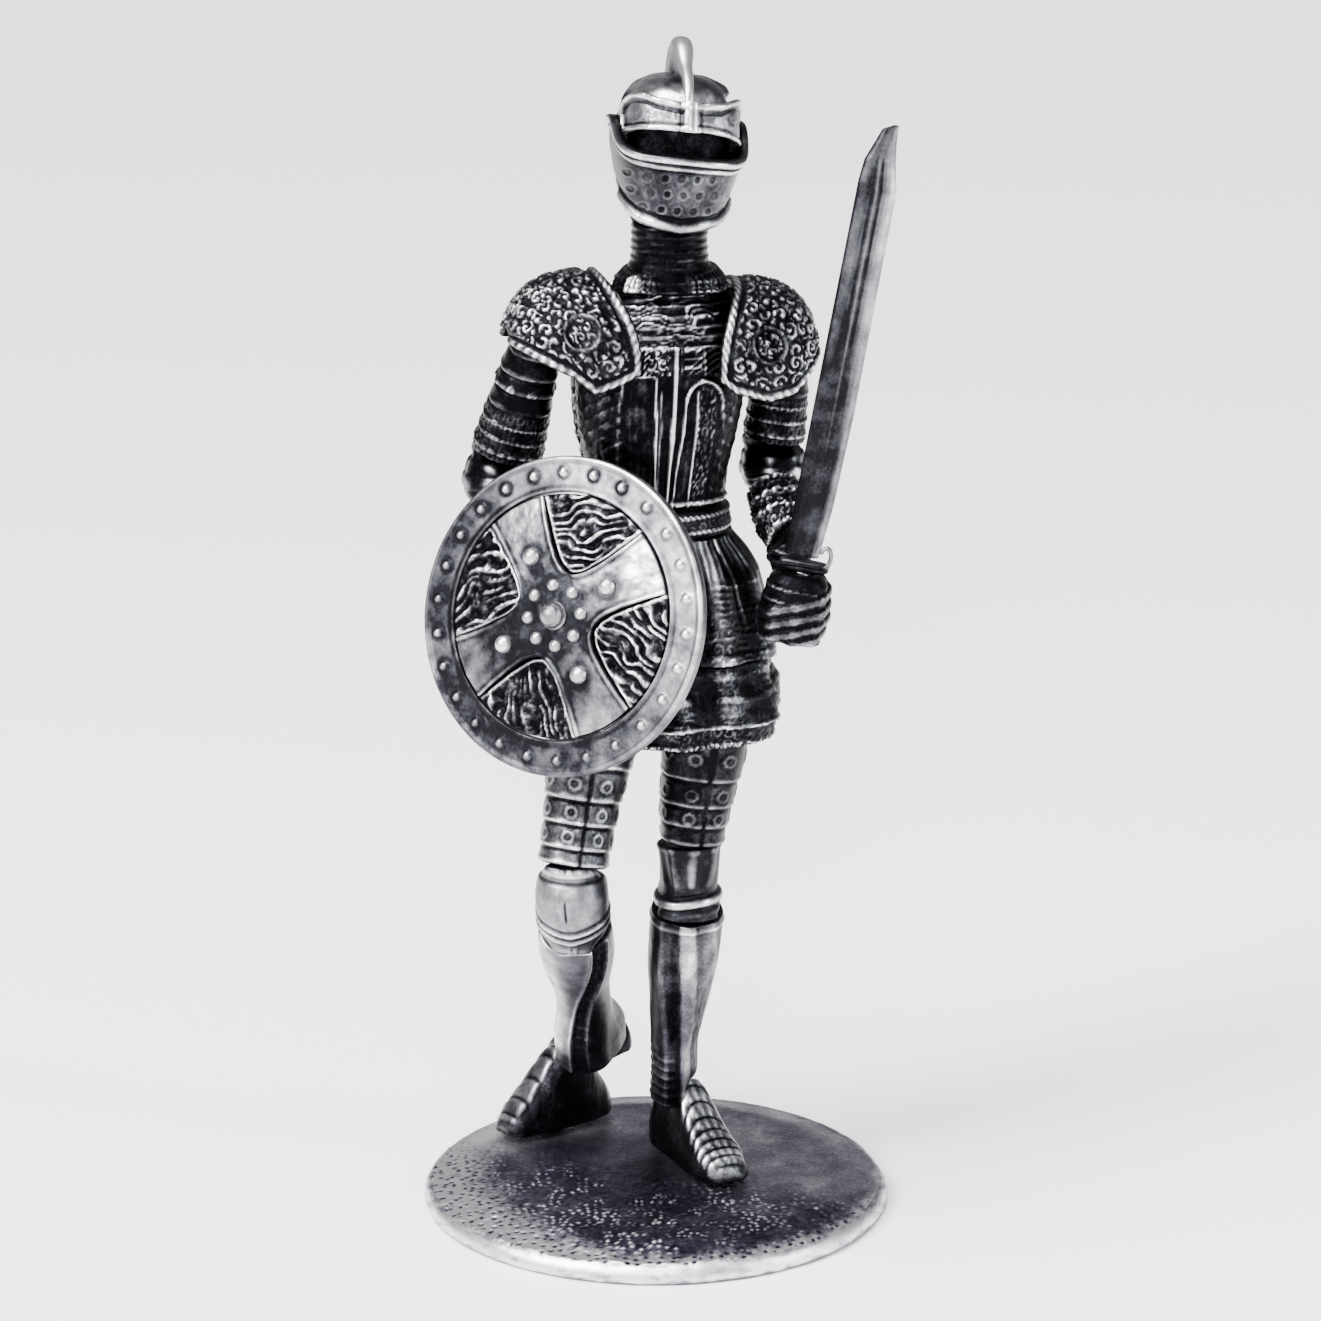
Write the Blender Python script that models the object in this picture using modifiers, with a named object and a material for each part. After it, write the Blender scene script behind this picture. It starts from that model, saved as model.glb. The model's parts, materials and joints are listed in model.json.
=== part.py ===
"""Knight in full plate armour: a cast metal display figure, 90 mm tall, on a round base.

Metres, +Z up, facing -Y. The origin is the centre of the base's underside. Left and right are the knight's
own. The visor tips up on two pins, the sword draws up out of the left fist, and the shield turns on a peg
that the right fist holds. Sizes below are millimetres, and MM turns them into metres.
"""
import math

import bmesh
import bpy
from mathutils import Euler, Matrix, Vector

MM = 0.001
GAP = 0.3                    # between one plate and the next
RUNNING = 0.1                # radial clearance of a pin or peg in its hole
SIDES = 20                   # facets round a limb

# Base: a flat disc with gently raised ground
BASE_RADIUS = 18.0
BASE_RIM = 1.6
GROUND = 2.2
SOLE = GROUND + GAP
STANCE = (0.35, -2.0, 0.0)   # where the figure stands on the base
FOOT_PEG_RADIUS = 0.8

# Torso and head, in the figure's own frame, whose origin is at STANCE
TORSO_TURN = 12.0            # degrees towards the sword arm
WAIST_Z = 56.0
HEAD_CENTRE = (1.2, -0.3, 83.2)
HEAD_TURN = 9.0
HEAD_LEAN = 4.0
NECK = (0.65, 0.1)
NECK_PEG_RADIUS = 0.9

# Visor: two ears on pins, and a plate that is turned about the hinge axis
VISOR_HALF_WIDTH = 4.15
VISOR_REACH = 5.7
VISOR_PLATE = 0.4
VISOR_POWER = 3.0
EAR_RADIUS = 1.3
PIN_RADIUS = 0.45

# Sword, in a frame whose origin is where the guard sits on the fist
SWORD_SEAT = (10.35, -6.3, 52.0)
SWORD_LEAN = 10.2
BLADE_LENGTH = 33.0
BLADE_FOOT = 1.1
BLADE_WIDTH = 3.1
BLADE_TOP_WIDTH = 2.8
BLADE_THICKNESS = 0.9
GRIP_RADIUS = 0.65
GRIP_LENGTH = 5.4
FIST_HEIGHT = 5.6

# Shield: a round board, turned to the knight's right and leaning back
SHIELD_CENTRE = (-7.2, -8.8, 49.2)
SHIELD_TURN = 30.0
SHIELD_LEAN_BACK = 15.0
SHIELD_RADIUS = 11.65
FIELD_RADIUS = 8.9
SHIELD_THICKNESS = 0.8
CROSS_TURN = 33.0            # the cross stands this far round from upright
SHIELD_PEG_RADIUS = 0.7


# ---------------------------------------------------------------- scene and materials

def clear_scene():
    for obj in list(bpy.data.objects):
        bpy.data.objects.remove(obj, do_unlink=True)
    for mesh in list(bpy.data.meshes):
        bpy.data.meshes.remove(mesh)


def metal(name, colour, roughness):
    made = bpy.data.materials.new(name)
    made.use_nodes = True
    shader = made.node_tree.nodes["Principled BSDF"]
    shader.inputs["Base Color"].default_value = (*colour, 1.0)
    shader.inputs["Metallic"].default_value = 1.0
    shader.inputs["Roughness"].default_value = roughness
    return made


clear_scene()
figure_parts = bpy.data.collections.new("knight_figure")
cutters = bpy.data.collections.new("cutters")
bpy.context.scene.collection.children.link(figure_parts)
bpy.context.scene.collection.children.link(cutters)
cutters.hide_render = True

BRIGHT = metal("bright_pewter", (0.62, 0.63, 0.66), 0.28)
AGED = metal("aged_pewter", (0.36, 0.37, 0.40), 0.38)
DARK = metal("blackened_pewter", (0.11, 0.11, 0.13), 0.45)
GROUND_METAL = metal("ground_pewter", (0.22, 0.22, 0.26), 0.5)


def empty(name, location=(0, 0, 0), turn=(0, 0, 0), parent=None):
    made = bpy.data.objects.new(name, None)
    figure_parts.objects.link(made)
    made.location = Vector(location) * MM
    made.rotation_euler = Euler([math.radians(angle) for angle in turn])
    made.parent = parent
    return made


def part(name, mesh, material, parent=None, location=(0, 0, 0)):
    """A named object of the figure, shaded smooth between sharp edges."""
    made = bpy.data.objects.new(name, mesh)
    figure_parts.objects.link(made)
    made.location = Vector(location) * MM
    made.parent = parent
    mesh.materials.clear()
    mesh.materials.append(material)
    mesh.shade_smooth()
    mesh.set_sharp_from_angle(angle=math.radians(40))
    return made


def cut_or_join(target, other, operation):
    """A Boolean with a hidden helper object."""
    figure_parts.objects.unlink(other)
    cutters.objects.link(other)
    other.hide_render = True
    other.display_type = "WIRE"
    modifier = target.modifiers.new(other.name, "BOOLEAN")
    modifier.operation = operation
    modifier.object = other
    return other


# ---------------------------------------------------------------- shapes

def loft(name, sections, material, parent=None, location=(0, 0, 0), hub=False):
    """A closed skin through sections of equal point count, in millimetres, capped at both ends.

    A cap is one face, or with hub set, a fan about the section's middle, for a section with hollow sides.
    """
    body = bmesh.new()
    rows = [[body.verts.new(Vector(point) * MM) for point in section] for section in sections]
    for lower, upper in zip(rows, rows[1:]):
        for i in range(len(lower)):
            j = (i + 1) % len(lower)
            body.faces.new((lower[i], lower[j], upper[j], upper[i]))
    for row in (rows[0], rows[-1]):
        if hub:
            middle = body.verts.new(sum((vert.co for vert in row), Vector()) / len(row))
            for i in range(len(row)):
                body.faces.new((row[i - 1], row[i], middle))
        else:
            body.faces.new(row)
    bmesh.ops.triangulate(body, faces=body.faces)
    bmesh.ops.recalc_face_normals(body, faces=body.faces)
    mesh = bpy.data.meshes.new(name)
    body.to_mesh(mesh)
    body.free()
    return part(name, mesh, material, parent, location)


def rounded(angle, power):
    """A point on the unit superellipse, at an angle in degrees from +X."""
    c, s = math.cos(math.radians(angle)), math.sin(math.radians(angle))
    return math.copysign(abs(c) ** (2 / power), c), math.copysign(abs(s) ** (2 / power), s)


def level_ring(x, y, z, half_width, half_depth, power=2.3, start=0.0, sweep=360.0):
    """A level section. A sweep under a full turn is closed by the straight line between its ends."""
    count = SIDES if sweep == 360.0 else SIDES // 2 + 1
    last = count if sweep == 360.0 else count - 1
    ring = []
    for i in range(count):
        across, deep = rounded(start + sweep * i / last, power)
        ring.append((x + half_width * across, y + half_depth * deep, z))
    return ring


def limb(name, stations, material, parent=None, power=2.2):
    """A tube of changing oval section. A station is (x, y, z, half width, half depth) on its middle line."""
    middles = [Vector(station[:3]) for station in stations]
    sections = []
    for i, station in enumerate(stations):
        along = (middles[min(i + 1, len(middles) - 1)] - middles[max(i - 1, 0)]).normalized()
        across = (Vector((1, 0, 0)) - along * along.x).normalized()
        deep = along.cross(across)
        ring = []
        for k in range(SIDES):
            a, d = rounded(360 * k / SIDES, power)
            ring.append(middles[i] + across * a * station[3] + deep * d * station[4])
        sections.append(ring)
    return loft(name, sections, material, parent)


def lames(top, bottom, count, lip):
    """Stations of overlapping bands between two stations, each band a little wider at its lower edge."""
    stations = []
    for i in range(count):
        for share, extra in ((i / count, 0.0), ((i + 0.96) / count, lip)):
            mixed = [a + (b - a) * share for a, b in zip(top, bottom)]
            stations.append((*mixed[:3], mixed[3] + extra, mixed[4] + extra))
    return stations


def cylinder(name, radius, low, high, material, parent=None, turn=(0, 0, 0), location=(0, 0, 0), sides=24):
    """A round bar along its own Z, from low to high."""
    bpy.ops.mesh.primitive_cylinder_add(vertices=sides, radius=radius * MM, depth=(high - low) * MM)
    made = bpy.context.active_object
    made.data.transform(Matrix.Translation((0, 0, (low + high) / 2 * MM)))
    made.data.transform(Euler([math.radians(angle) for angle in turn]).to_matrix().to_4x4())
    mesh = made.data
    bpy.data.objects.remove(made)
    return part(name, mesh, material, parent, location)


def turned(name, profile, material, parent=None, location=(0, 0, 0), steps=64):
    """A Screw about Z of a profile that runs down its outer side. Clear of the axis, it is a closed ring."""
    mesh = bpy.data.meshes.new(name)
    points = [(radius * MM, 0, height * MM) for radius, height in profile]
    edges = [(i, i + 1) for i in range(len(points) - 1)]
    if profile[0][0] > 0:
        edges.append((len(points) - 1, 0))
    mesh.from_pydata(points, edges, [])
    made = part(name, mesh, material, parent, location)
    screw = made.modifiers.new("turn", "SCREW")
    screw.steps = steps
    screw.render_steps = steps
    screw.use_merge_vertices = True
    screw.merge_threshold = 0.00001
    return made


def shell_patch(name, outer, inner, material, parent=None):
    """A closed plate between two grids of points with the same rows and columns, in millimetres."""
    body = bmesh.new()
    grids = []
    for grid in (outer, inner):
        grids.append([[body.verts.new(Vector(point) * MM) for point in row] for row in grid])
    rows, columns = len(outer), len(outer[0])
    for grid in grids:
        for i in range(rows - 1):
            for j in range(columns - 1):
                body.faces.new((grid[i][j], grid[i][j + 1], grid[i + 1][j + 1], grid[i + 1][j]))
    border = [(0, j) for j in range(columns)]
    border += [(i, columns - 1) for i in range(1, rows)]
    border += [(rows - 1, j) for j in range(columns - 2, -1, -1)]
    border += [(i, 0) for i in range(rows - 2, 0, -1)]
    for (a, b), (c, d) in zip(border, border[1:] + border[:1]):
        body.faces.new((grids[0][a][b], grids[0][c][d], grids[1][c][d], grids[1][a][b]))
    bmesh.ops.triangulate(body, faces=body.faces)
    bmesh.ops.recalc_face_normals(body, faces=body.faces)
    mesh = bpy.data.meshes.new(name)
    body.to_mesh(mesh)
    body.free()
    return part(name, mesh, material, parent)


def between(table, value):
    """The straight-line value at a place in a table of (place, value) pairs."""
    for (a, low), (b, high) in zip(table, table[1:]):
        if value <= b:
            return low + (high - low) * max(0.0, (value - a) / (b - a))
    return table[-1][1]


# ---------------------------------------------------------------- frames

stance = empty("stance", STANCE)
torso = empty("torso_frame", (0, 0, 0), (0, 0, TORSO_TURN), stance)
head = empty("visor_axis", HEAD_CENTRE, (0, HEAD_LEAN, HEAD_TURN), stance)
sword = empty("sword_axis", SWORD_SEAT, (0, SWORD_LEAN, 0), stance)
shield = empty("shield_axis", SHIELD_CENTRE, (90 - SHIELD_LEAN_BACK, 0, -SHIELD_TURN), stance)


# ---------------------------------------------------------------- base and legs

def make_base():
    edge = BASE_RADIUS
    profile = [(0, GROUND), (edge - 8.0, GROUND), (edge - 3.5, GROUND - 0.2), (edge - 0.7, BASE_RIM + 0.15),
               (edge, BASE_RIM - 0.3), (edge, 0.4), (edge - 0.3, 0), (0, 0)]
    return turned("base_plate", profile, GROUND_METAL)


def foot_section(along, half_width, low, high, heading, heel):
    """A flat-soled section across the foot."""
    forward = Vector((math.sin(math.radians(heading)), -math.cos(math.radians(heading)), 0))
    aside = Vector((-forward.y, forward.x, 0))
    centre = Vector((*heel, 0)) + forward * along
    ring = []
    for i in range(13):
        across, up = rounded(180 * i / 12, 2.6)
        ring.append(centre + aside * across * half_width + Vector((0, 0, low + (high - low) * up)))
    return ring


def sabaton(name, heel, heading, stations):
    """A foot made of stations from heel to toe: (distance along, half width, underside, top)."""
    sections = [foot_section(*station, heading, heel) for station in stations]
    return loft(name, sections, AGED, stance)


def foot_peg(shoe, base, heel, heading, along):
    """A short peg under the sole, joined to the shoe, and its blind hole in the base."""
    x = heel[0] + along * math.sin(math.radians(heading))
    y = heel[1] - along * math.cos(math.radians(heading))
    peg_foot, hole_floor = 0.8, 0.5
    peg = cylinder(shoe.name + "_peg", FOOT_PEG_RADIUS, peg_foot, SOLE + 1.2, AGED, stance,
                   location=(x, y, 0), sides=12)
    cut_or_join(shoe, peg, "UNION")
    hole = cylinder(shoe.name + "_hole", FOOT_PEG_RADIUS + GAP, hole_floor, GROUND + 1, AGED, stance,
                    location=(x, y, 0), sides=12)
    cut_or_join(base, hole, "DIFFERENCE")


def make_legs(base):
    # The left leg stands straight, with its foot turned a little outwards.
    left_thigh = [(3.6, 0.6, 42.7, 3.3, 3.5)]
    left_thigh += lames((3.4, 0.5, 37.0, 3.1, 3.3), (2.15, 0.3, 29.8, 2.35, 2.75), 4, 0.22)
    limb("cuisse_left", left_thigh, AGED, stance)
    left_knee = [(2.15, 0.3, 29.25, 2.4, 2.8), (2.2, 0.2, 27.6, 2.25, 2.7), (2.15, 0.5, 25.7, 2.2, 2.6),
                 (2.1, 0.6, 25.4, 2.5, 2.9), (2.1, 0.8, 24.1, 2.5, 2.9)]
    limb("knee_cop_left", left_knee, BRIGHT, stance)
    left_shin = [(2.05, 1.0, 23.7, 2.7, 2.9), (1.9, 1.4, 21.7, 2.85, 3.2), (1.65, 2.0, 18.8, 2.65, 3.1),
                 (1.4, 2.6, 16.2, 2.3, 2.6), (1.05, 3.4, 12.8, 1.85, 2.1), (1.1, 3.9, 10.4, 1.75, 2.0),
                 (1.2, 4.2, 8.9, 1.9, 2.1)]
    limb("greave_left", left_shin, AGED, stance)
    left_heel, left_heading = (0.2, 8.0), 28.0
    left = sabaton("sabaton_left", left_heel, left_heading, [
        (0.0, 1.1, SOLE, 5.0), (0.5, 1.6, SOLE, 7.4), (1.6, 1.9, SOLE, 8.5), (4.3, 1.95, SOLE, 8.5),
        (5.4, 2.0, SOLE, 7.5), (7.2, 2.15, SOLE, 5.9), (9.2, 2.2, SOLE, 4.6), (10.6, 1.9, SOLE, 3.9),
        (11.3, 1.1, SOLE, 3.3)])
    foot_peg(left, base, left_heel, left_heading, 6.0)

    # The right leg steps back, knee bent and foot turned well out, on the ball of the foot.
    right_thigh = [(-4.5, 0.6, 42.7, 3.2, 3.4)]
    right_thigh += lames((-5.2, -0.2, 37.0, 3.05, 3.3), (-6.55, -2.3, 28.5, 2.4, 2.9), 4, 0.24)
    limb("cuisse_right", right_thigh, AGED, stance)
    right_knee = [(-6.6, -2.5, 28.1, 2.5, 2.8), (-6.68, -2.9, 26.4, 2.8, 3.1), (-6.6, -2.3, 24.7, 2.8, 3.1),
                  (-6.55, -1.4, 23.5, 2.65, 2.9)]
    limb("knee_cop_right", right_knee, BRIGHT, stance)
    right_shin = [(-6.5, -0.6, 22.8, 2.75, 2.8), (-6.45, 1.2, 21.2, 2.95, 3.1), (-6.3, 3.2, 19.2, 2.7, 3.0),
                  (-6.2, 5.2, 16.9, 2.2, 2.6), (-6.0, 7.0, 14.6, 2.1, 2.4), (-6.0, 8.6, 12.4, 2.25, 2.4),
                  (-6.1, 9.8, 10.6, 2.35, 2.4)]
    limb("greave_right", right_shin, BRIGHT, stance)
    right_heel, right_heading = (-2.9, 15.6), -53.0
    right = sabaton("sabaton_right", right_heel, right_heading, [
        (1.9, 0.9, SOLE, 4.2), (2.8, 1.7, SOLE, 5.6), (4.2, 2.1, SOLE, 7.6), (5.4, 2.2, SOLE, 8.7),
        (7.2, 2.2, SOLE, 8.4), (8.4, 2.2, SOLE, 7.0), (10.0, 2.15, SOLE, 5.2), (11.4, 1.8, SOLE, 3.9),
        (12.1, 1.0, SOLE, 3.2)])
    raised_heel = sabaton("raised_heel", right_heel, right_heading, [
        (0.0, 1.1, 7.6, 9.0), (0.5, 1.6, 7.4, 10.0), (2.0, 1.95, 7.3, 10.0), (4.0, 1.9, 6.9, 9.8),
        (6.4, 1.7, 6.4, 9.2)])
    cut_or_join(right, raised_heel, "UNION")
    foot_peg(right, base, right_heel, right_heading, 7.0)


# ---------------------------------------------------------------- skirt, belt, torso

def thigh_socket(name, low, high):
    """The blind hole in the skirt that a thigh goes up into, from its place at the hem to the top."""
    rings = [level_ring(x, y, z, 3.35 + GAP, 3.6 + GAP, 2.2) for (x, y), z in ((low, 37.0), (high, 43.7))]
    return loft(name, rings, DARK, stance)


def make_skirt():
    upper = [(0.0, 53.6, 4.9, 4.5), (0.15, 52.4, 6.0, 5.1), (0.2, 50.5, 7.1, 5.6), (0.2, 48.0, 7.8, 5.7),
             (0.2, 46.0, 8.2, 5.9), (0.2, 44.6, 8.4, 6.1)]
    loft("skirt_upper", [level_ring(x, 0, z, wide, deep) for x, z, wide, deep in upper], AGED, stance)
    lower = [(0.2, 44.3, 7.9, 5.9), (0.2, 43.0, 8.0, 6.1), (0.25, 41.4, 8.7, 6.5), (0.3, 39.9, 8.7, 6.6),
             (0.2, 38.4, 8.2, 6.4)]
    rings = [level_ring(x, 0, z, wide, deep) for x, z, wide, deep in lower]
    skirt = loft("skirt_lower", rings, AGED, stance)
    cut_or_join(skirt, thigh_socket("socket_left", (3.4, 0.5), (3.6, 0.6)), "DIFFERENCE")
    cut_or_join(skirt, thigh_socket("socket_right", (-5.1, -0.2), (-4.5, 0.6)), "DIFFERENCE")
    belt = [(53.9, 5.1, 4.7), (54.2, 5.35, 4.9), (55.4, 5.25, 4.8), (55.7, 4.95, 4.5)]
    loft("belt", [level_ring(-0.15, 0, z, wide, deep) for z, wide, deep in belt], BRIGHT, stance)


def make_torso():
    trunk = [(-0.35, WAIST_Z, 4.85, 4.2), (-0.35, 57.6, 5.1, 4.4), (-0.35, 59.6, 5.5, 4.7),
             (-0.4, 61.2, 6.0, 5.0), (-0.3, 63.5, 6.4, 5.15), (-0.2, 66.0, 6.5, 5.1), (0.0, 68.0, 6.4, 4.75),
             (0.1, 69.2, 6.1, 4.25), (0.2, 70.2, 5.5, 3.6), (0.3, 71.0, 4.6, 2.75), (0.4, 71.6, 3.4, 2.0)]
    neck_hole = empty("neck_hole_frame", (*NECK, 0), (0, 0, 0), stance)
    for name, start, y in (("breastplate", 180.0, -GAP / 2), ("backplate", 0.0, GAP / 2)):
        rings = [level_ring(x, y, z, wide, deep, 2.3, start, 180.0) for x, z, wide, deep in trunk]
        plate = loft(name, rings, DARK, torso)
        hole = cylinder(name + "_neck_hole", NECK_PEG_RADIUS + RUNNING, 69.4, 73.0, DARK, neck_hole)
        cut_or_join(plate, hole, "DIFFERENCE")
    collar = [(0.7, 0.2, 71.95, 3.2, 3.4), (0.7, 0.15, 72.6, 3.1, 3.3)]
    collar += lames((0.65, 0.1, 73.1, 2.75, 2.9), (0.65, 0.0, 76.9, 2.65, 2.75), 4, 0.16)
    gorget = limb("gorget", collar, DARK, stance)
    hole = cylinder("gorget_hole", NECK_PEG_RADIUS + RUNNING, 71.0, 78.0, DARK, neck_hole)
    cut_or_join(gorget, hole, "DIFFERENCE")
    cylinder("neck_peg", NECK_PEG_RADIUS, 69.8, 79.3, AGED, neck_hole)


def pauldron_point(inner_edge, low_points, thickness, lift, across, around):
    """A point of a shoulder dome: across from 0 at the chest to 1 at the arm, around from front to back."""
    outer_edge, axis_y, axis_z, radius = 11.5, 0.2, 66.8, 5.7
    share = 1 - (1 - across) ** 1.6
    reach = inner_edge + (outer_edge - inner_edge) * share
    fall = max(0.0, 1 - ((reach - inner_edge) / (outer_edge + 0.25 - inner_edge)) ** 3)
    bulge = (radius - thickness) * fall ** 0.45
    sine = (between(low_points, reach) - axis_z) / bulge
    front = math.degrees(math.asin(max(-0.95, min(0.95, sine))))
    angle = math.radians(front + (180 - 2 * front) * around)
    lifted_edge = inner_edge + 2.0 * max(0.0, math.sin(angle)) ** 2
    x = lifted_edge + (outer_edge - thickness * share - lifted_edge) * share
    return x, axis_y - bulge * 1.05 * math.cos(angle), axis_z + lift + bulge * math.sin(angle)


def pauldron(name, side, inner_edge, low_points, lift):
    """A domed shoulder guard: open below, with a wing over the chest that ends in a rounded point."""
    rows, columns, plate = 9, 15, 0.5
    grids = []
    for thickness in (0.0, plate):
        grid = []
        for i in range(rows):
            row = []
            for j in range(columns):
                across, around = i / (rows - 1), j / (columns - 1)
                x, y, z = pauldron_point(inner_edge, low_points, thickness, lift, across, around)
                row.append((side * x, y, z))
            grid.append(row)
        grids.append(grid)
    return shell_patch(name, *grids, AGED, torso)


def make_shoulders():
    right_hem = [(2.6, 65.8), (4.2, 64.9), (5.8, 64.3), (7.4, 65.6), (9.5, 66.6), (11.5, 67.6)]
    left_hem = [(3.2, 66.0), (4.4, 65.0), (7.0, 64.2), (9.0, 64.6), (10.2, 65.6), (11.5, 67.0)]
    # The shoulders slope: the shield side is a little higher than the sword side.
    pauldron("pauldron_right", -1, right_hem[0][0], right_hem, 0.6)
    pauldron("pauldron_left", 1, left_hem[0][0], left_hem, -0.4)


# ---------------------------------------------------------------- arms and hands

def make_arms():
    right_upper = [(-8.9, -1.2, 68.6, 1.6, 1.9)]
    right_upper += lames((-9.3, -0.9, 67.0, 1.9, 2.1), (-11.3, 1.2, 59.5, 2.5, 2.6), 4, 0.18)
    limb("rerebrace_right", right_upper, DARK, stance)
    right_elbow = [(-11.35, 1.3, 59.1, 2.45, 2.6), (-11.75, 1.8, 57.6, 2.85, 2.9),
                   (-11.95, 1.7, 56.2, 2.7, 2.7), (-11.8, 1.2, 55.3, 2.3, 2.3)]
    limb("elbow_cop_right", right_elbow, BRIGHT, stance)
    right_forearm = [(-11.15, -0.9, 54.0, 2.1, 2.1), (-10.2, -2.1, 52.9, 1.9, 1.9),
                     (-8.6, -4.2, 51.2, 1.5, 1.5)]
    limb("vambrace_right", right_forearm, DARK, stance)

    left_upper = [(8.8, 1.9, 68.6, 1.6, 1.9)]
    left_upper += lames((9.1, 2.0, 67.0, 1.9, 2.1), (8.45, 2.8, 60.2, 2.1, 2.2), 4, 0.18)
    limb("rerebrace_left", left_upper, DARK, stance)
    left_elbow = [(8.45, 2.9, 59.8, 2.15, 2.3), (8.35, 3.1, 58.6, 2.4, 2.5), (8.4, 2.6, 57.3, 2.35, 2.4),
                  (8.5, 1.9, 56.5, 2.1, 2.1)]
    limb("elbow_cop_left", left_elbow, BRIGHT, stance)
    left_forearm = [(8.55, 1.4, 56.1, 1.9, 1.9), (8.9, -0.6, 54.8, 1.9, 1.9),
                    (9.3, -2.6, 53.6, 1.65, 1.65)]
    limb("vambrace_left", left_forearm, AGED, stance)


def make_hands():

    # Left fist: closed round the sword's grip, with a short wrist.
    fist = [(-GAP, 1.7, 1.7), (-0.8, 2.2, 2.1), (-2.9, 2.5, 2.3), (-FIST_HEIGHT + 0.5, 2.2, 2.1),
            (-FIST_HEIGHT, 1.7, 1.7)]
    rings = [level_ring(-0.1, -0.1, z, wide, deep, 2.6) for z, wide, deep in fist]
    left_fist = loft("gauntlet_left", rings, AGED, sword)
    wrist_stations = [(9.45, -3.4, 52.9, 1.5, 1.5), (9.6, -4.1, 51.7, 1.4, 1.4), (9.8, -5.2, 50.0, 1.6, 1.6)]
    wrist = limb("wrist_left", wrist_stations, AGED, stance)
    cut_or_join(left_fist, wrist, "UNION")
    bore = cylinder("grip_bore", GRIP_RADIUS + RUNNING, -FIST_HEIGHT - 1, 1.0, AGED, sword)
    cut_or_join(left_fist, bore, "DIFFERENCE")

    # Right fist: behind the shield, closed round its peg. The shield's own Z points out of its face.
    fist = [(-4.1, 1.4), (-3.8, 1.8), (-1.8, 1.8), (-1.4, 1.4)]
    rings = [level_ring(0.1, 0, z, wide, wide, 2.6) for z, wide in fist]
    right_fist = loft("gauntlet_right", rings, DARK, shield)
    wrist_stations = [(-8.35, -4.45, 51.0, 1.45, 1.45), (-6.3, -6.1, 49.0, 1.4, 1.4)]
    wrist = limb("wrist_right", wrist_stations, DARK, stance)
    cut_or_join(right_fist, wrist, "UNION")
    bore = cylinder("peg_bore", SHIELD_PEG_RADIUS + RUNNING, -3.7, 0.0, DARK, shield)
    cut_or_join(right_fist, bore, "DIFFERENCE")


# ---------------------------------------------------------------- helmet

def skull_radius(angle, rise):
    """Half width and half depth of the skull: narrow under visor and bevor, and full behind the ears."""
    front = ((-5.8, 2.7, 2.95), (-3.0, 3.3, 3.6), (-1.3, 3.35, 3.4), (1.4, 3.4, 3.5), (2.0, 3.4, 4.25),
             (3.2, 2.75, 3.4), (3.8, 1.9, 2.3), (4.1, 0.85, 1.0))
    back = ((-5.8, 2.7, 2.95), (-3.0, 4.0, 4.6), (-1.3, 4.35, 5.1), (1.4, 4.3, 5.1), (2.0, 4.15, 4.9),
            (3.2, 3.4, 4.0), (3.8, 2.3, 2.8), (4.1, 0.85, 1.0))
    table = back if angle > 118 else front
    wide = between([(z, w) for z, w, d in table], rise)
    deep = between([(z, d) for z, w, d in table], rise)
    return wide, deep


def make_helmet():
    heights = (-5.8, -4.4, -3.0, -1.3, 0.0, 1.4, 2.0, 2.6, 3.2, 3.8, 4.1)
    angles = [-180 + 10 * i for i in range(7)] + [-119.5, -116.5] + [-110 + 10 * i for i in range(23)]
    angles += [116.5, 119.5] + [120 + 10 * i for i in range(6)]
    angles = sorted(set(angles) - {-120, 120})
    rings = []
    for rise in heights:
        ring = []
        for angle in angles:
            wide, deep = skull_radius(abs(angle), rise)
            across, forward = math.sin(math.radians(angle)), math.cos(math.radians(angle))
            size = (abs(across / wide) ** 2.4 + abs(forward / deep) ** 2.4) ** (-1 / 2.4)
            ring.append((across * size, -forward * size, rise))
        rings.append(ring)
    skull = loft("helmet_skull", rings, DARK, head)

    # The comb: a low keel up the brow that grows into a tall fin over the crown.
    comb = [(22, 4.95, 0.4), (40, 4.95, 0.4), (60, 4.9, 0.42), (75, 5.0, 0.5), (84, 6.1, 0.62),
            (94, 6.6, 0.68), (108, 6.6, 0.64), (124, 6.15, 0.56), (140, 5.6, 0.48), (156, 5.1, 0.4)]
    sections = []
    for turn, reach, half in comb:
        back, up = -math.cos(math.radians(turn)), math.sin(math.radians(turn))
        outline = [(-half * 1.4, 2.4), (half * 1.4, 2.4), (half, reach - 0.2), (half * 0.5, reach),
                   (-half * 0.5, reach), (-half, reach - 0.2)]
        sections.append([(x, 0.2 + radius * back, 0.2 + radius * up) for x, radius in outline])
    cut_or_join(skull, loft("comb", sections, DARK, head), "UNION")
    neck = empty("skull_neck_frame", (*NECK, 0), (0, 0, 0), stance)
    hole = cylinder("skull_neck_hole", NECK_PEG_RADIUS + RUNNING, 74.0, 79.7, DARK, neck)
    cut_or_join(skull, hole, "DIFFERENCE")

    for name, side in (("left", 1), ("right", -1)):
        low, high = sorted((side * 2.2, side * (VISOR_HALF_WIDTH + 0.05)))
        cylinder("visor_pin_" + name, PIN_RADIUS, low, high, BRIGHT, head, turn=(0, 90, 0))
        low, high = sorted((side * 1.9, side * 5.0))
        hole = cylinder("pin_hole_" + name, PIN_RADIUS + RUNNING, low, high, DARK, head, turn=(0, 90, 0))
        cut_or_join(skull, hole, "DIFFERENCE")


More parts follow.
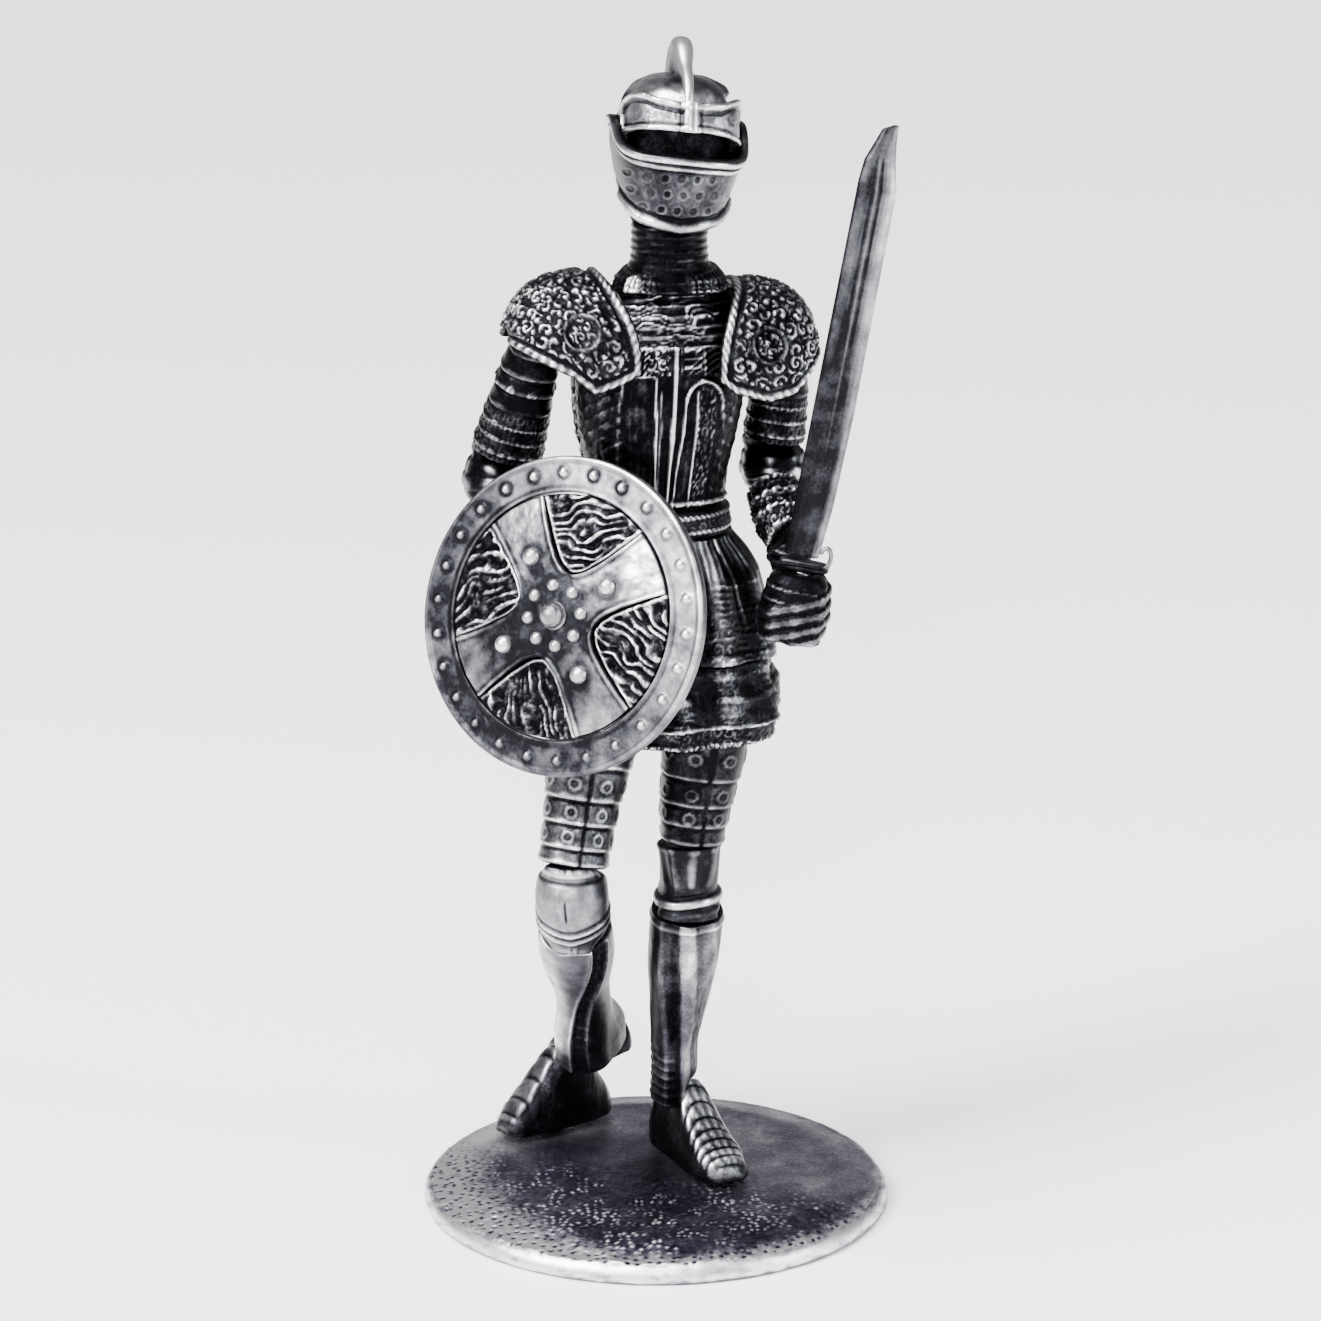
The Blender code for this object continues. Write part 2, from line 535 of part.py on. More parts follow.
def make_bevor():
    """The chin guard: a wrapped plate, its rim low in front of the eyes and rising to a wing each side."""
    widths = [(-6.8, 3.25), (-5.4, 3.7), (-3.0, 4.35), (-1.1, 4.75), (0.6, 4.87), (1.9, 4.87)]
    depths = [(-6.8, 4.1), (-5.4, 5.0), (-3.0, 5.8), (-1.1, 6.3), (0.6, 6.35), (1.9, 6.3)]
    powers = [(-6.8, 2.2), (-3.0, 2.4), (-1.1, 2.8), (0.6, 3.0), (1.9, 3.0)]
    rim = [(0, -1.1), (35, -1.05), (55, -0.6), (68, 0.3), (80, 1.5), (92, 1.85), (105, 1.7)]
    hem = [(0, -6.8), (40, -6.3), (70, -5.4), (105, -4.4)]
    grids = []
    for thickness in (0.0, 0.43):
        grid = []
        for i in range(9):
            row = []
            for j in range(29):
                angle = -105 + 210 * j / 28
                low, high = between(hem, abs(angle)), between(rim, abs(angle))
                rise = low + (high - low) * i / 8
                wide, deep = between(widths, rise) - thickness, between(depths, rise) - thickness
                power = between(powers, rise)
                across, forward = math.sin(math.radians(angle)), math.cos(math.radians(angle))
                size = (abs(across / wide) ** power + abs(forward / deep) ** power) ** (-1 / power)
                row.append((across * size, -forward * size, rise))
            grid.append(row)
        grids.append(grid)
    return shell_patch("bevor", *grids, AGED, head)


def make_visor():
    """A brow plate turned about the hinge axis, with a keel in the middle and a round ear at each end."""
    turns = [4.0, 6.2, 14, 26, 38, 50, 62, 72, 80, 86]
    turns = [-turn for turn in reversed(turns)] + turns
    lower = [(0, 5.5), (50, 5.5), (72, 2.0), (86, -20.0)]
    upper = [(0, 27.0), (25, 31.0), (50, 44.0), (72, 60.0), (86, 85.0)]
    grids = []
    for thickness in (0.0, VISOR_PLATE):
        grid = []
        for turn in turns:
            across, reach = math.sin(math.radians(turn)), math.cos(math.radians(turn))
            x = math.copysign(abs(across) ** (2 / VISOR_POWER), across) * (VISOR_HALF_WIDTH - thickness)
            radius = reach ** (2 / VISOR_POWER) * (VISOR_REACH - thickness)
            keel = 0.35 if abs(turn) < 5 and thickness == 0.0 else 0.0
            start, end = between(lower, abs(turn)), between(upper, abs(turn))
            row = []
            for k in range(7):
                angle = math.radians(start + (end - start) * k / 6)
                row.append((x, -(radius + keel) * math.cos(angle), (radius + keel) * math.sin(angle)))
            grid.append(row)
        grids.append(grid)
    visor = shell_patch("visor", *grids, BRIGHT, head)
    for name, side in (("left", 1), ("right", -1)):
        low, high = sorted((side * (VISOR_HALF_WIDTH - VISOR_PLATE), side * (VISOR_HALF_WIDTH + 0.04)))
        ear = cylinder("ear_" + name, EAR_RADIUS, low, high, BRIGHT, head, turn=(0, 90, 0))
        cut_or_join(visor, ear, "UNION")
    hole = cylinder("visor_pin_hole", PIN_RADIUS + RUNNING, -5, 5, BRIGHT, head, turn=(0, 90, 0))
    cut_or_join(visor, hole, "DIFFERENCE")


# ---------------------------------------------------------------- sword and shield

def make_sword():
    sections = []
    for rise, left, right, thick in ((BLADE_FOOT, 1, 1, 1), (28.0, 1, 1, 0.85), (30.6, 1, 1, 0.75),
                                     (32.0, 0.15, 1, 0.6), (BLADE_LENGTH, -0.62, 0.78, 0.3)):
        half = (BLADE_WIDTH + (BLADE_TOP_WIDTH - BLADE_WIDTH) * rise / BLADE_LENGTH) / 2
        flat = BLADE_THICKNESS / 2 * thick
        west, east = -half * left, half * right
        middle = (west + east) / 2
        quarter = (east - west) / 4
        sections.append([(west, 0, rise), (middle - quarter, -flat, rise), (middle, -flat * 0.8, rise),
                         (middle + quarter, -flat, rise), (east, 0, rise), (middle + quarter, flat, rise),
                         (middle, flat * 0.8, rise), (middle - quarter, flat, rise)])
    loft("sword_blade", sections, BRIGHT, sword)
    cylinder("sword_grip", GRIP_RADIUS, -GRIP_LENGTH, -0.05, DARK, sword)

    # The guard: a bar with a small curl at one end and a loop at the other.
    route = [(-2.2, 1.05), (-2.55, 1.1), (-2.8, 0.8), (-2.65, 0.5), (-2.2, 0.4), (-1.2, 0.45), (0.0, 0.5),
             (1.3, 0.45)]
    loop_x, loop_z, loop_radius = 2.1, 0.95, 0.6
    for i in range(1, 9):
        angle = math.radians(-90 + 32 * i)
        route.append((loop_x + loop_radius * math.cos(angle), loop_z + loop_radius * math.sin(angle)))
    bar_y = -0.6
    curve = bpy.data.curves.new("guard_curve", "CURVE")
    curve.dimensions = "3D"
    curve.bevel_depth = 0.3 * MM
    curve.bevel_resolution = 2
    curve.use_fill_caps = True
    spline = curve.splines.new("POLY")
    spline.points.add(len(route) - 1)
    for point, (x, z) in zip(spline.points, route):
        point.co = (x * MM, bar_y * MM, z * MM, 1)
    bar = bpy.data.objects.new("guard_curve", curve)
    figure_parts.objects.link(bar)
    bar.parent = sword
    curve.materials.append(BRIGHT)
    mesh = mesh_of_curve(bar)
    bpy.data.objects.remove(bar)
    guard_bar = part("guard_bar", mesh, BRIGHT, sword)
    rings = [level_ring(0, 0, z, 1.85, 0.7, 2.6) for z in (0.0, 0.75)]
    guard = loft("sword_guard", rings, BRIGHT, sword)
    cut_or_join(guard, guard_bar, "UNION")


def mesh_of_curve(obj):
    """The mesh of a curve object, with its loose caps welded on."""
    bpy.context.view_layer.update()
    graph = bpy.context.evaluated_depsgraph_get()
    mesh = bpy.data.meshes.new_from_object(obj.evaluated_get(graph))
    body = bmesh.new()
    body.from_mesh(mesh)
    bmesh.ops.remove_doubles(body, verts=body.verts, dist=1e-6)
    bmesh.ops.recalc_face_normals(body, faces=body.faces)
    body.to_mesh(mesh)
    body.free()
    return mesh


def cross_outline():
    """A broad cross: four arms that widen a little outwards, with round ends."""
    reach, waist = FIELD_RADIUS - 0.3, 1.9
    outline = []
    for arm in range(4):
        heading = math.radians(90 * arm + CROSS_TURN)
        side = [(waist, waist), (4.4, 1.95), (6.8, 2.2)]
        ends = [math.radians(angle) for angle in (-16, -6, 6, 16)]
        tip = [(reach * math.cos(angle), reach * math.sin(angle)) for angle in ends]
        points = [(x, -y) for x, y in side[1:]] + tip + [(x, y) for x, y in reversed(side[1:])]
        points.append(side[0])
        c, s = math.cos(heading), math.sin(heading)
        outline += [(x * c - y * s, x * s + y * c) for x, y in points]
    return outline


def make_shield():
    back = -SHIELD_THICKNESS
    board = [(0, 0.15), (FIELD_RADIUS, 0.15), (FIELD_RADIUS, -0.35), (4.0, -0.5), (0, -0.5)]
    turned("shield_board", board, DARK, shield, steps=48)
    outer, inner = SHIELD_RADIUS, FIELD_RADIUS + GAP
    rim = [(inner, 0.1), (outer - 0.15, 0.1), (outer, -0.05), (outer, back), (inner, back)]
    turned("shield_rim", rim, BRIGHT, shield, steps=48)
    sections = [[(x, y, z) for x, y in cross_outline()] for z in (0.45, 0.75)]
    loft("shield_cross", sections, BRIGHT, shield, hub=True)
    dome = [(0, 1.8), (0.5, 1.7), (0.9, 1.4), (1.05, 1.05), (0, 1.05)]
    turned("shield_boss", dome, BRIGHT, shield, steps=16)
    peg = cylinder("shield_peg", SHIELD_PEG_RADIUS, -3.4, back, AGED, shield)
    flange = cylinder("peg_flange", 1.3, -1.2, back, AGED, shield)
    cut_or_join(peg, flange, "UNION")


base_plate = make_base()
make_legs(base_plate)
make_skirt()
make_torso()
make_shoulders()
make_arms()
make_hands()
make_helmet()
make_bevor()
make_visor()
make_sword()
make_shield()
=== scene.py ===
"""Looks of the cast metal knight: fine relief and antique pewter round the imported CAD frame."""
import json
import math

import bmesh
import bpy
import numpy as np
from mathutils import Matrix, Vector
from mathutils.bvhtree import BVHTree


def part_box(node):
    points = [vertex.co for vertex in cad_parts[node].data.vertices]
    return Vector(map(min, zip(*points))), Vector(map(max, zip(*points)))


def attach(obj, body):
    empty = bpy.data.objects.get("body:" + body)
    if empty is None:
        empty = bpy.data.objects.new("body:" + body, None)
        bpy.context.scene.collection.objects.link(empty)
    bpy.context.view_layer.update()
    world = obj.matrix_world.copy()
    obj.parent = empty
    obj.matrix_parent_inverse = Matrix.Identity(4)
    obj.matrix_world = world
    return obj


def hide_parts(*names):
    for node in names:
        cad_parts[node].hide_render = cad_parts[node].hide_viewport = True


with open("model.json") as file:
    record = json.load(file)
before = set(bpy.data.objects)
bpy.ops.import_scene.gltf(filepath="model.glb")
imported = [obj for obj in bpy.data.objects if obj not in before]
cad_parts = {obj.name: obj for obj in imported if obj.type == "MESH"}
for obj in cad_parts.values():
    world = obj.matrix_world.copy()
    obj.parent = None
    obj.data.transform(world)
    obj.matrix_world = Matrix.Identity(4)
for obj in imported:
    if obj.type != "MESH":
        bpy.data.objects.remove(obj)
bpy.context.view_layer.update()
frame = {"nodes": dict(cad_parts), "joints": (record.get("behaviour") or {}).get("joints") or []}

MM = 0.001
PITCH = 0.13                 # mm between neighbouring points of a fine surface

# Camera: in front of the knight, a little above, with a long lens.
CAMERA_PLACE = (0.35, -302.0, 123.2)
CAMERA_PITCH = 14.87
CAMERA_LENS = 113.18
FIGURE_MIDDLE = (0, 0, 50)   # what the lights aim at
FLOOR_HALF = 2.5             # metres

# Pewter: where a ramp starts and ends, and its number of steps.
RAMP_ENDS, RAMP_STEPS = (0.05, 0.95), 7
SILVER = (0.74, 0.74, 0.735)
PLAIN_WEAR = 0.42            # how bare a flat face is before its tone
WEAR_REACH = 0.42            # mm over which relief counts as raised or hollow


# ---------------------------------------------------------------- camera, light, floor

def make_camera():
    data = bpy.data.cameras.new("camera")
    data.lens = CAMERA_LENS
    data.sensor_width = 36.0
    data.clip_start = 0.01
    data.clip_end = 20.0
    camera = bpy.data.objects.new("camera", data)
    camera.location = Vector(CAMERA_PLACE) * MM
    camera.rotation_euler = (math.radians(90 - CAMERA_PITCH), 0, 0)
    bpy.context.scene.collection.objects.link(camera)
    bpy.context.scene.camera = camera


def area_light(name, place, size, power, colour=(1, 1, 1)):
    data = bpy.data.lights.new(name, "AREA")
    data.shape = "RECTANGLE"
    data.size, data.size_y = size[0] * MM, size[1] * MM
    data.energy = power
    data.color = colour
    light = bpy.data.objects.new(name, data)
    light.location = Vector(place) * MM
    aim = Vector(FIGURE_MIDDLE) * MM - light.location
    light.rotation_euler = aim.to_track_quat("-Z", "Y").to_euler()
    bpy.context.scene.collection.objects.link(light)


def sun_light(name, aim, spread, power):
    data = bpy.data.lights.new(name, "SUN")
    data.energy = power
    data.angle = math.radians(spread)
    light = bpy.data.objects.new(name, data)
    light.rotation_euler = Vector(aim).to_track_quat("-Z", "Y").to_euler()
    bpy.context.scene.collection.objects.link(light)


def make_stage():
    # A wide even light from above for floor and figure, and soft boxes that draw the highlights.
    sun_light("overhead", (0.30, 0.34, -1.0), 45, 8.0)
    area_light("key", (-330, -250, 330), (110, 260), 6.0)
    area_light("fill", (360, -160, 160), (50, 300), 1.6, (0.93, 0.96, 1.0))
    area_light("front", (-40, -420, 210), (60, 90), 1.5)
    world = bpy.data.worlds.new("studio")
    world.use_nodes = True
    sky = world.node_tree.nodes["Background"]
    sky.inputs["Color"].default_value = (0.93, 0.95, 1.0, 1)
    sky.inputs["Strength"].default_value = 0.35
    bpy.context.scene.world = world

    corners = [(x * FLOOR_HALF, y * FLOOR_HALF, 0) for x, y in ((-1, -1), (1, -1), (1, 1), (-1, 1))]
    mesh = bpy.data.meshes.new("floor")
    mesh.from_pydata(corners, [], [(0, 1, 2, 3)])
    floor = bpy.data.objects.new("floor", mesh)
    bpy.context.scene.collection.objects.link(floor)
    paper = bpy.data.materials.new("floor_paper")
    paper.use_nodes = True
    shader = paper.node_tree.nodes["Principled BSDF"]
    shader.inputs["Base Color"].default_value = (0.9, 0.9, 0.9, 1)
    shader.inputs["Roughness"].default_value = 0.9
    mesh.materials.append(paper)


# ---------------------------------------------------------------- materials

def pewter(name, dark, bright, power, rough, grain, speckle, cloudy, lift=0.05):
    """Antique pewter: the "worn" attribute, broken up by noise, goes from dark patina to bright bare metal.
    rough is the roughness of each, grain the depth of the bump, speckle and cloudy the noise in the wear."""
    made = bpy.data.materials.new(name)
    made.use_nodes = True
    tree = made.node_tree
    nodes, links = tree.nodes, tree.links
    shader = nodes["Principled BSDF"]
    shader.inputs["Metallic"].default_value = 1.0
    place = nodes.new("ShaderNodeTexCoord")
    scale = nodes.new("ShaderNodeMapping")
    scale.inputs["Scale"].default_value = (1000, 1000, 1000)
    links.new(place.outputs["Object"], scale.inputs["Vector"])

    def noise(size, detail, roughness):
        made_noise = nodes.new("ShaderNodeTexNoise")
        made_noise.inputs["Scale"].default_value = size
        made_noise.inputs["Detail"].default_value = detail
        made_noise.inputs["Roughness"].default_value = roughness
        links.new(scale.outputs["Vector"], made_noise.inputs["Vector"])
        return made_noise

    def sums(operation, first, second):
        node = nodes.new("ShaderNodeMath")
        node.operation = operation
        for socket, value in zip(node.inputs, (first, second)):
            if isinstance(value, (int, float)):
                socket.default_value = value
            else:
                links.new(value, socket)
        return node.outputs[0]

    worn = nodes.new("ShaderNodeAttribute")
    worn.attribute_name = "worn"
    fine = noise(4.5, 4, 0.7)
    broad = noise(0.55, 3, 0.6)
    fleck = sums("MULTIPLY", sums("SUBTRACT", fine.outputs["Fac"], 0.5), speckle * 2)
    cloud = sums("MULTIPLY", sums("SUBTRACT", broad.outputs["Fac"], 0.5), cloudy * 2)
    share = sums("ADD", sums("ADD", worn.outputs["Fac"], lift), sums("ADD", fleck, cloud))
    ramp = nodes.new("ShaderNodeValToRGB")
    # Even steps of grey from patina to metal: each stop is the same ratio brighter than the one before.
    first, last = ramp.color_ramp.elements
    first.position, last.position = RAMP_ENDS
    first.color, last.color = (*dark, 1), (*bright, 1)
    for step in range(1, RAMP_STEPS):
        part = step / RAMP_STEPS
        stop = ramp.color_ramp.elements.new(RAMP_ENDS[0] + (RAMP_ENDS[1] - RAMP_ENDS[0]) * part)
        stop.color = (*[low * (high / low) ** (part ** power) for low, high in zip(dark, bright)], 1)
    links.new(share, ramp.inputs["Fac"])
    links.new(ramp.outputs["Color"], shader.inputs["Base Color"])
    polish = nodes.new("ShaderNodeMapRange")
    polish.inputs["To Min"].default_value = rough[0]
    polish.inputs["To Max"].default_value = rough[1]
    links.new(share, polish.inputs["Value"])
    links.new(polish.outputs["Result"], shader.inputs["Roughness"])

    bump = nodes.new("ShaderNodeBump")
    bump.inputs["Strength"].default_value = grain
    bump.inputs["Distance"].default_value = 0.05 * MM
    links.new(fine.outputs["Fac"], bump.inputs["Height"])
    links.new(bump.outputs["Normal"], shader.inputs["Normal"])
    return made


# name: patina, bare metal, the ramp's power, roughness of patina and metal, grain, speckle, cloudy
LOOK_VALUES = {
    "bright_pewter": ((0.008, 0.008, 0.010), SILVER, 0.62, (0.46, 0.31), 0.25, 0.16, 0.34),
    "aged_pewter": ((0.0035, 0.0035, 0.0045), SILVER, 0.66, (0.42, 0.30), 0.4, 0.24, 0.30),
    "blackened_pewter": ((0.002, 0.002, 0.0026), (0.6, 0.6, 0.605), 0.7, (0.38, 0.28), 0.45, 0.24, 0.26),
    "ground_pewter": ((0.0065, 0.005, 0.012), SILVER, 0.72, (0.4, 0.36), 0.6, 0.36, 0.2),
}
LOOKS = {name: pewter(name, *values) for name, values in LOOK_VALUES.items()}


# ---------------------------------------------------------------- numbers over a surface

def smooth(low, high, value):
    """From 0 at low to 1 at high, without corners."""
    share = np.clip((value - low) / (high - low), 0, 1)
    return share * share * (3 - 2 * share)


def ridge(distance, half):
    """A rounded ridge over a centre line."""
    return np.sqrt(np.clip(1 - (distance / half) ** 2, 0, 1))


def bell(distance, half):
    """A soft bump over a centre line."""
    return np.exp(-(distance / half) ** 2)


def groove(distance, half):
    """A soft channel under a centre line."""
    return -bell(distance, half)


dome = ridge    # the same profile, over a distance from a point


def saw(value):
    """The part of a number after its point."""
    return value - np.floor(value)


def once_round(count):
    """Even angles once round, in radians."""
    return np.linspace(0, 2 * math.pi, count, endpoint=False)


def unit(vector):
    return vector / np.linalg.norm(vector)


def unit_rows(vectors):
    """Each vector of an array, one unit long."""
    return vectors / np.maximum(np.linalg.norm(vectors, axis=-1, keepdims=True), 1e-9)


def distance_round(angle, middle):
    """Degrees from a direction, the short way round."""
    return np.abs((angle - middle + 180) % 360 - 180)


def hashed(i, j, seed):
    """Repeatable numbers from 0 to 1 for whole-number pairs. The product may run over, its bits will do."""
    n = (i.astype(np.int64) * 73856093) ^ (j.astype(np.int64) * 19349663) ^ (seed * 83492791)
    with np.errstate(over="ignore"):
        n = (n ^ (n >> 13)) * 1274126177
    n = n ^ (n >> 16)
    return (n & 0xFFFFF) / float(0xFFFFF)


def cells(x, y, size, seed):
    """Nearest and second nearest of scattered points: distances, offset from the nearest, its own number."""
    gx, gy = np.floor(x / size), np.floor(y / size)
    best = np.full(x.shape, 1e9)
    second = np.full(x.shape, 1e9)
    off_x, off_y, own = np.zeros(x.shape), np.zeros(x.shape), np.zeros(x.shape)
    for di in (-1, 0, 1):
        for dj in (-1, 0, 1):
            i, j = gx + di, gy + dj
            px = (i + 0.15 + 0.7 * hashed(i, j, seed)) * size
            py = (j + 0.15 + 0.7 * hashed(i, j, seed + 1)) * size
            d = np.hypot(x - px, y - py)
            nearer = d < best
            second = np.where(nearer, best, np.minimum(second, d))
            off_x, off_y = np.where(nearer, x - px, off_x), np.where(nearer, y - py, off_y)
            own = np.where(nearer, hashed(i, j, seed + 2), own)
            best = np.where(nearer, d, best)
    return best, second, off_x, off_y, own


def value_noise(x, y, size, seed):
    """Smooth noise between -0.5 and 0.5."""
    gx, gy = np.floor(x / size), np.floor(y / size)
    fx, fy = x / size - gx, y / size - gy
    fx, fy = fx * fx * (3 - 2 * fx), fy * fy * (3 - 2 * fy)
    corner = [[hashed(gx + i, gy + j, seed) for j in (0, 1)] for i in (0, 1)]
    low = corner[0][0] + (corner[1][0] - corner[0][0]) * fx
    high = corner[0][1] + (corner[1][1] - corner[0][1]) * fx
    return low + (high - low) * fy - 0.5


def rough_ground(x, y, size, seed, octaves=4):
    """Noise in ever finer layers."""
    total = np.zeros(x.shape)
    for k in range(octaves):
        total += value_noise(x, y, size / 2 ** k, seed + 5 * k) / 2 ** (0.7 * k)
    return total


def scrollwork(x, y, size, seed):
    """Curling stems and leaves, from 0 in the ground to 1 on the stems."""
    x = x + 0.3 * size * value_noise(x, y, size * 0.8, seed + 11)
    y = y + 0.3 * size * value_noise(x, y, size * 0.8, seed + 12)
    near, second, dx, dy, own = cells(x, y, size, seed)
    hand = np.where(own > 0.5, 1.0, -1.0)
    curl = np.cos(2 * math.pi * near / (0.46 * size) - hand * np.arctan2(dy, dx) + 6.28 * own)
    stem = smooth(-0.35, 0.75, curl)
    parting = smooth(0.0, 0.16 * size, second - near)
    return stem * parting


def scrollwork_on(points, size, seed):
    """Curling stems and leaves over a grid of points in space, without stretch."""
    first = unit_rows(np.gradient(points, axis=0))
    second_axis = np.cross(grid_normals(points, False), first)
    place = np.floor(points / size)
    best, runner_up = np.full(points.shape[:2], 1e9), np.full(points.shape[:2], 1e9)
    offset, own = np.zeros(points.shape), np.zeros(points.shape[:2])
    for di in (-1, 0, 1):
        for dj in (-1, 0, 1):
            for dk in (-1, 0, 1):
                i, j, k = place[..., 0] + di, place[..., 1] + dj, place[..., 2] + dk
                key = j + 97 * k
                spot = np.stack([at + 0.15 + 0.7 * hashed(i, key, seed + axis)
                                 for axis, at in enumerate((i, j, k))], -1) * size
                away = points - spot
                distance = np.linalg.norm(away, axis=2)
                nearer = distance < best
                runner_up = np.where(nearer, best, np.minimum(runner_up, distance))
                offset = np.where(nearer[..., None], away, offset)
                own = np.where(nearer, hashed(i, key, seed + 3), own)
                best = np.where(nearer, distance, best)
    turn = np.arctan2((offset * second_axis).sum(2), (offset * first).sum(2))
    hand = np.where(own > 0.5, 1.0, -1.0)
    curl = np.cos(2 * math.pi * best / (0.46 * size) - hand * turn + 6.28 * own)
    return smooth(-0.35, 0.75, curl) * smooth(0.0, 0.14 * size, runner_up - best)


def leafy(x, y, size, heading, seed):
    """Long curling strokes, like leaves or water, that run mostly one way."""
    turn = math.radians(heading)
    u, v = x * math.cos(turn) + y * math.sin(turn), -x * math.sin(turn) + y * math.cos(turn)
    drift = 1.5 * value_noise(u, v, 2.6, seed) + 0.9 * value_noise(u, v, 1.1, seed + 1)
    strokes = np.sin(2 * math.pi * (v + drift) / size)
    breaks = smooth(-0.32, 0.05, value_noise(u, v * 2.2, 1.5, seed + 2))
    return smooth(-0.4, 0.9, strokes) * breaks


def rosette(distance, radius):
    """A ring with a dot in it."""
    return ridge(distance - radius * 0.72, radius * 0.3) + 0.9 * dome(distance, radius * 0.34)


def rope(along, across, half, turn=1.3):
    """A twisted cord laid along a line."""
    body = ridge(across, half)
    return body * (0.72 + 0.28 * np.cos(2 * math.pi * (along / (half * turn * 2) + across / (half * 3))))


def mail(x, y, size):
    """Rows of interlocked rings, each row half a ring over."""
    row = np.floor(y / (size * 0.62))
    u = x / size + 0.5 * (row % 2)
    dx = (saw(u) - 0.5) * size
    dy = y - (row + 0.5) * size * 0.62
    return ridge(np.hypot(dx, dy) - size * 0.34, size * 0.17)


def blurred(field, radius, wrap):
    """A box blur, twice over, in grid steps; columns may run round."""
    for _ in range(2):
        for axis in (0, 1):
            size = max(1, int(radius[axis]))
            mode = "wrap" if (wrap and axis == 1) else "edge"
            pad = [(0, 0), (0, 0)]
            pad[axis] = (size, size)
            wide = np.pad(field, pad, mode=mode)
            total = np.cumsum(wide, axis=axis)
            total = np.concatenate([np.zeros_like(np.take(total, [0], axis)), total], axis)
            high = np.take(total, range(2 * size + 1, total.shape[axis]), axis)
            low = np.take(total, range(0, total.shape[axis] - 2 * size - 1), axis)
            field = (high - low) / (2 * size + 1)
    return field


# ---------------------------------------------------------------- meshes

def finish_piece(obj, body, slot, replaces=(), look=None):
    """Gives a piece its material, the body that carries it and the CAD nodes that it stands for."""
    obj.data.materials.append(LOOKS[look or slot])
    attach(obj, body)
    if replaces:
        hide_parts(*replaces)


def mesh_from(name, points, faces, worn, uv=None):
    """An object from points in millimetres and faces of three or four corners."""
    mesh = bpy.data.meshes.new(name)
    mesh.from_pydata((np.asarray(points) * MM).tolist(), [], faces)
    attribute = mesh.attributes.new("worn", "FLOAT", "POINT")
    attribute.data.foreach_set("value", np.asarray(worn, np.float32))
    if uv is not None:
        layer = mesh.uv_layers.new(name="OFBake")
        corners = np.empty(len(mesh.loops), np.int32)
        mesh.loops.foreach_get("vertex_index", corners)
        layer.data.foreach_set("uv", np.asarray(uv, np.float32)[corners].ravel())
    mesh.shade_smooth()
    obj = bpy.data.objects.new(name, mesh)
    bpy.context.scene.collection.objects.link(obj)
    return obj


def grid_normals(points, wrap):
    if wrap:
        across = np.roll(points, -1, 1) - np.roll(points, 1, 1)
    else:
        across = np.gradient(points, axis=1)
    return unit_rows(np.cross(across, np.gradient(points, axis=0)))


def wear_of(height, tone, pitch, wrap, gain=9.0):
    """How bare the metal is: raised relief is rubbed bright, hollows keep their patina."""
    reach = [max(1, WEAR_REACH / step) for step in pitch]
    relief = height - blurred(height, reach, wrap)
    return np.clip(PLAIN_WEAR + gain * relief + tone, 0, 1)


def quads(rows, columns, wrap, offset=0, flip=False):
    i = np.arange(rows - 1)[:, None]
    j = np.arange(columns if wrap else columns - 1)[None, :]
    k = (j + 1) % columns
    a, b, c, d = i * columns + j, i * columns + k, (i + 1) * columns + k, (i + 1) * columns + j
    corners = (d, c, b, a) if flip else (a, b, c, d)
    return (np.stack([np.broadcast_to(x, a.shape) for x in corners], -1).reshape(-1, 4) + offset).tolist()


def grid_uv(rows, columns, low=0.0, high=1.0):
    u = np.linspace(0.01, 0.99, columns)[None, :].repeat(rows, 0)
    v = np.linspace(low + 0.01, high - 0.01, rows)[:, None].repeat(columns, 1)
    return np.stack([u, v], -1).reshape(-1, 2)


class Surface:
    """What a relief function reads: degrees from the front, share of the height, and mm around and up."""

    def __init__(self, points, angle, share, around, length):
        self.angle, self.share, self.around, self.length = angle, share, around, length
        self.z = points[..., 2]
        self.up = share * length

    def over(self, level):
        """Millimetres above a share of the height."""
        return (self.share - level) * self.length

    def rough(self, size, seed):
        return rough_ground(self.around, self.up, size, seed)


def node_mesh(*names):
    points, faces = [], []
    for name in names:
        mesh = frame["nodes"][name].data
        mesh.calc_loop_triangles()
        start = sum(len(block) for block in points)
        block = np.empty(len(mesh.vertices) * 3)
        mesh.vertices.foreach_get("co", block)
        points.append(block.reshape(-1, 3) / MM)
        corners = np.empty(len(mesh.loop_triangles) * 3, np.int32)
        mesh.loop_triangles.foreach_get("vertices", corners)
        faces.append(corners.reshape(-1, 3) + start)
    return np.concatenate(points), np.concatenate(faces)


def middle_line(points, along, aim):
    """The straight line between the middles of a piece's two ends. A long limb is aimed again a few times."""
    along = unit(np.array(along, float))
    for _ in range(5 if aim else 1):
        height = points @ along
        span = height.max() - height.min()
        ends = points[height < height.min() + 0.06 * span], points[height > height.max() - 0.06 * span]
        low, high = [(end.min(0) + end.max(0)) / 2 for end in ends]
        if aim:
            along = unit(high - low)
    # The ends proper, at the full height.
    step = (high - low) / ((high - low) @ along)
    low = low + step * (height.min() - low @ along)
    high = high + step * (height.max() - high @ along)
    return low, high, along


STATIONS, SPOKES = 40, 72    # rays up and round a CAD piece
END_SHARE = 0.02             # the first and last rays stand this share of the height inside its ends
OUTSIDE = 40.0               # mm from a middle line, outside every piece


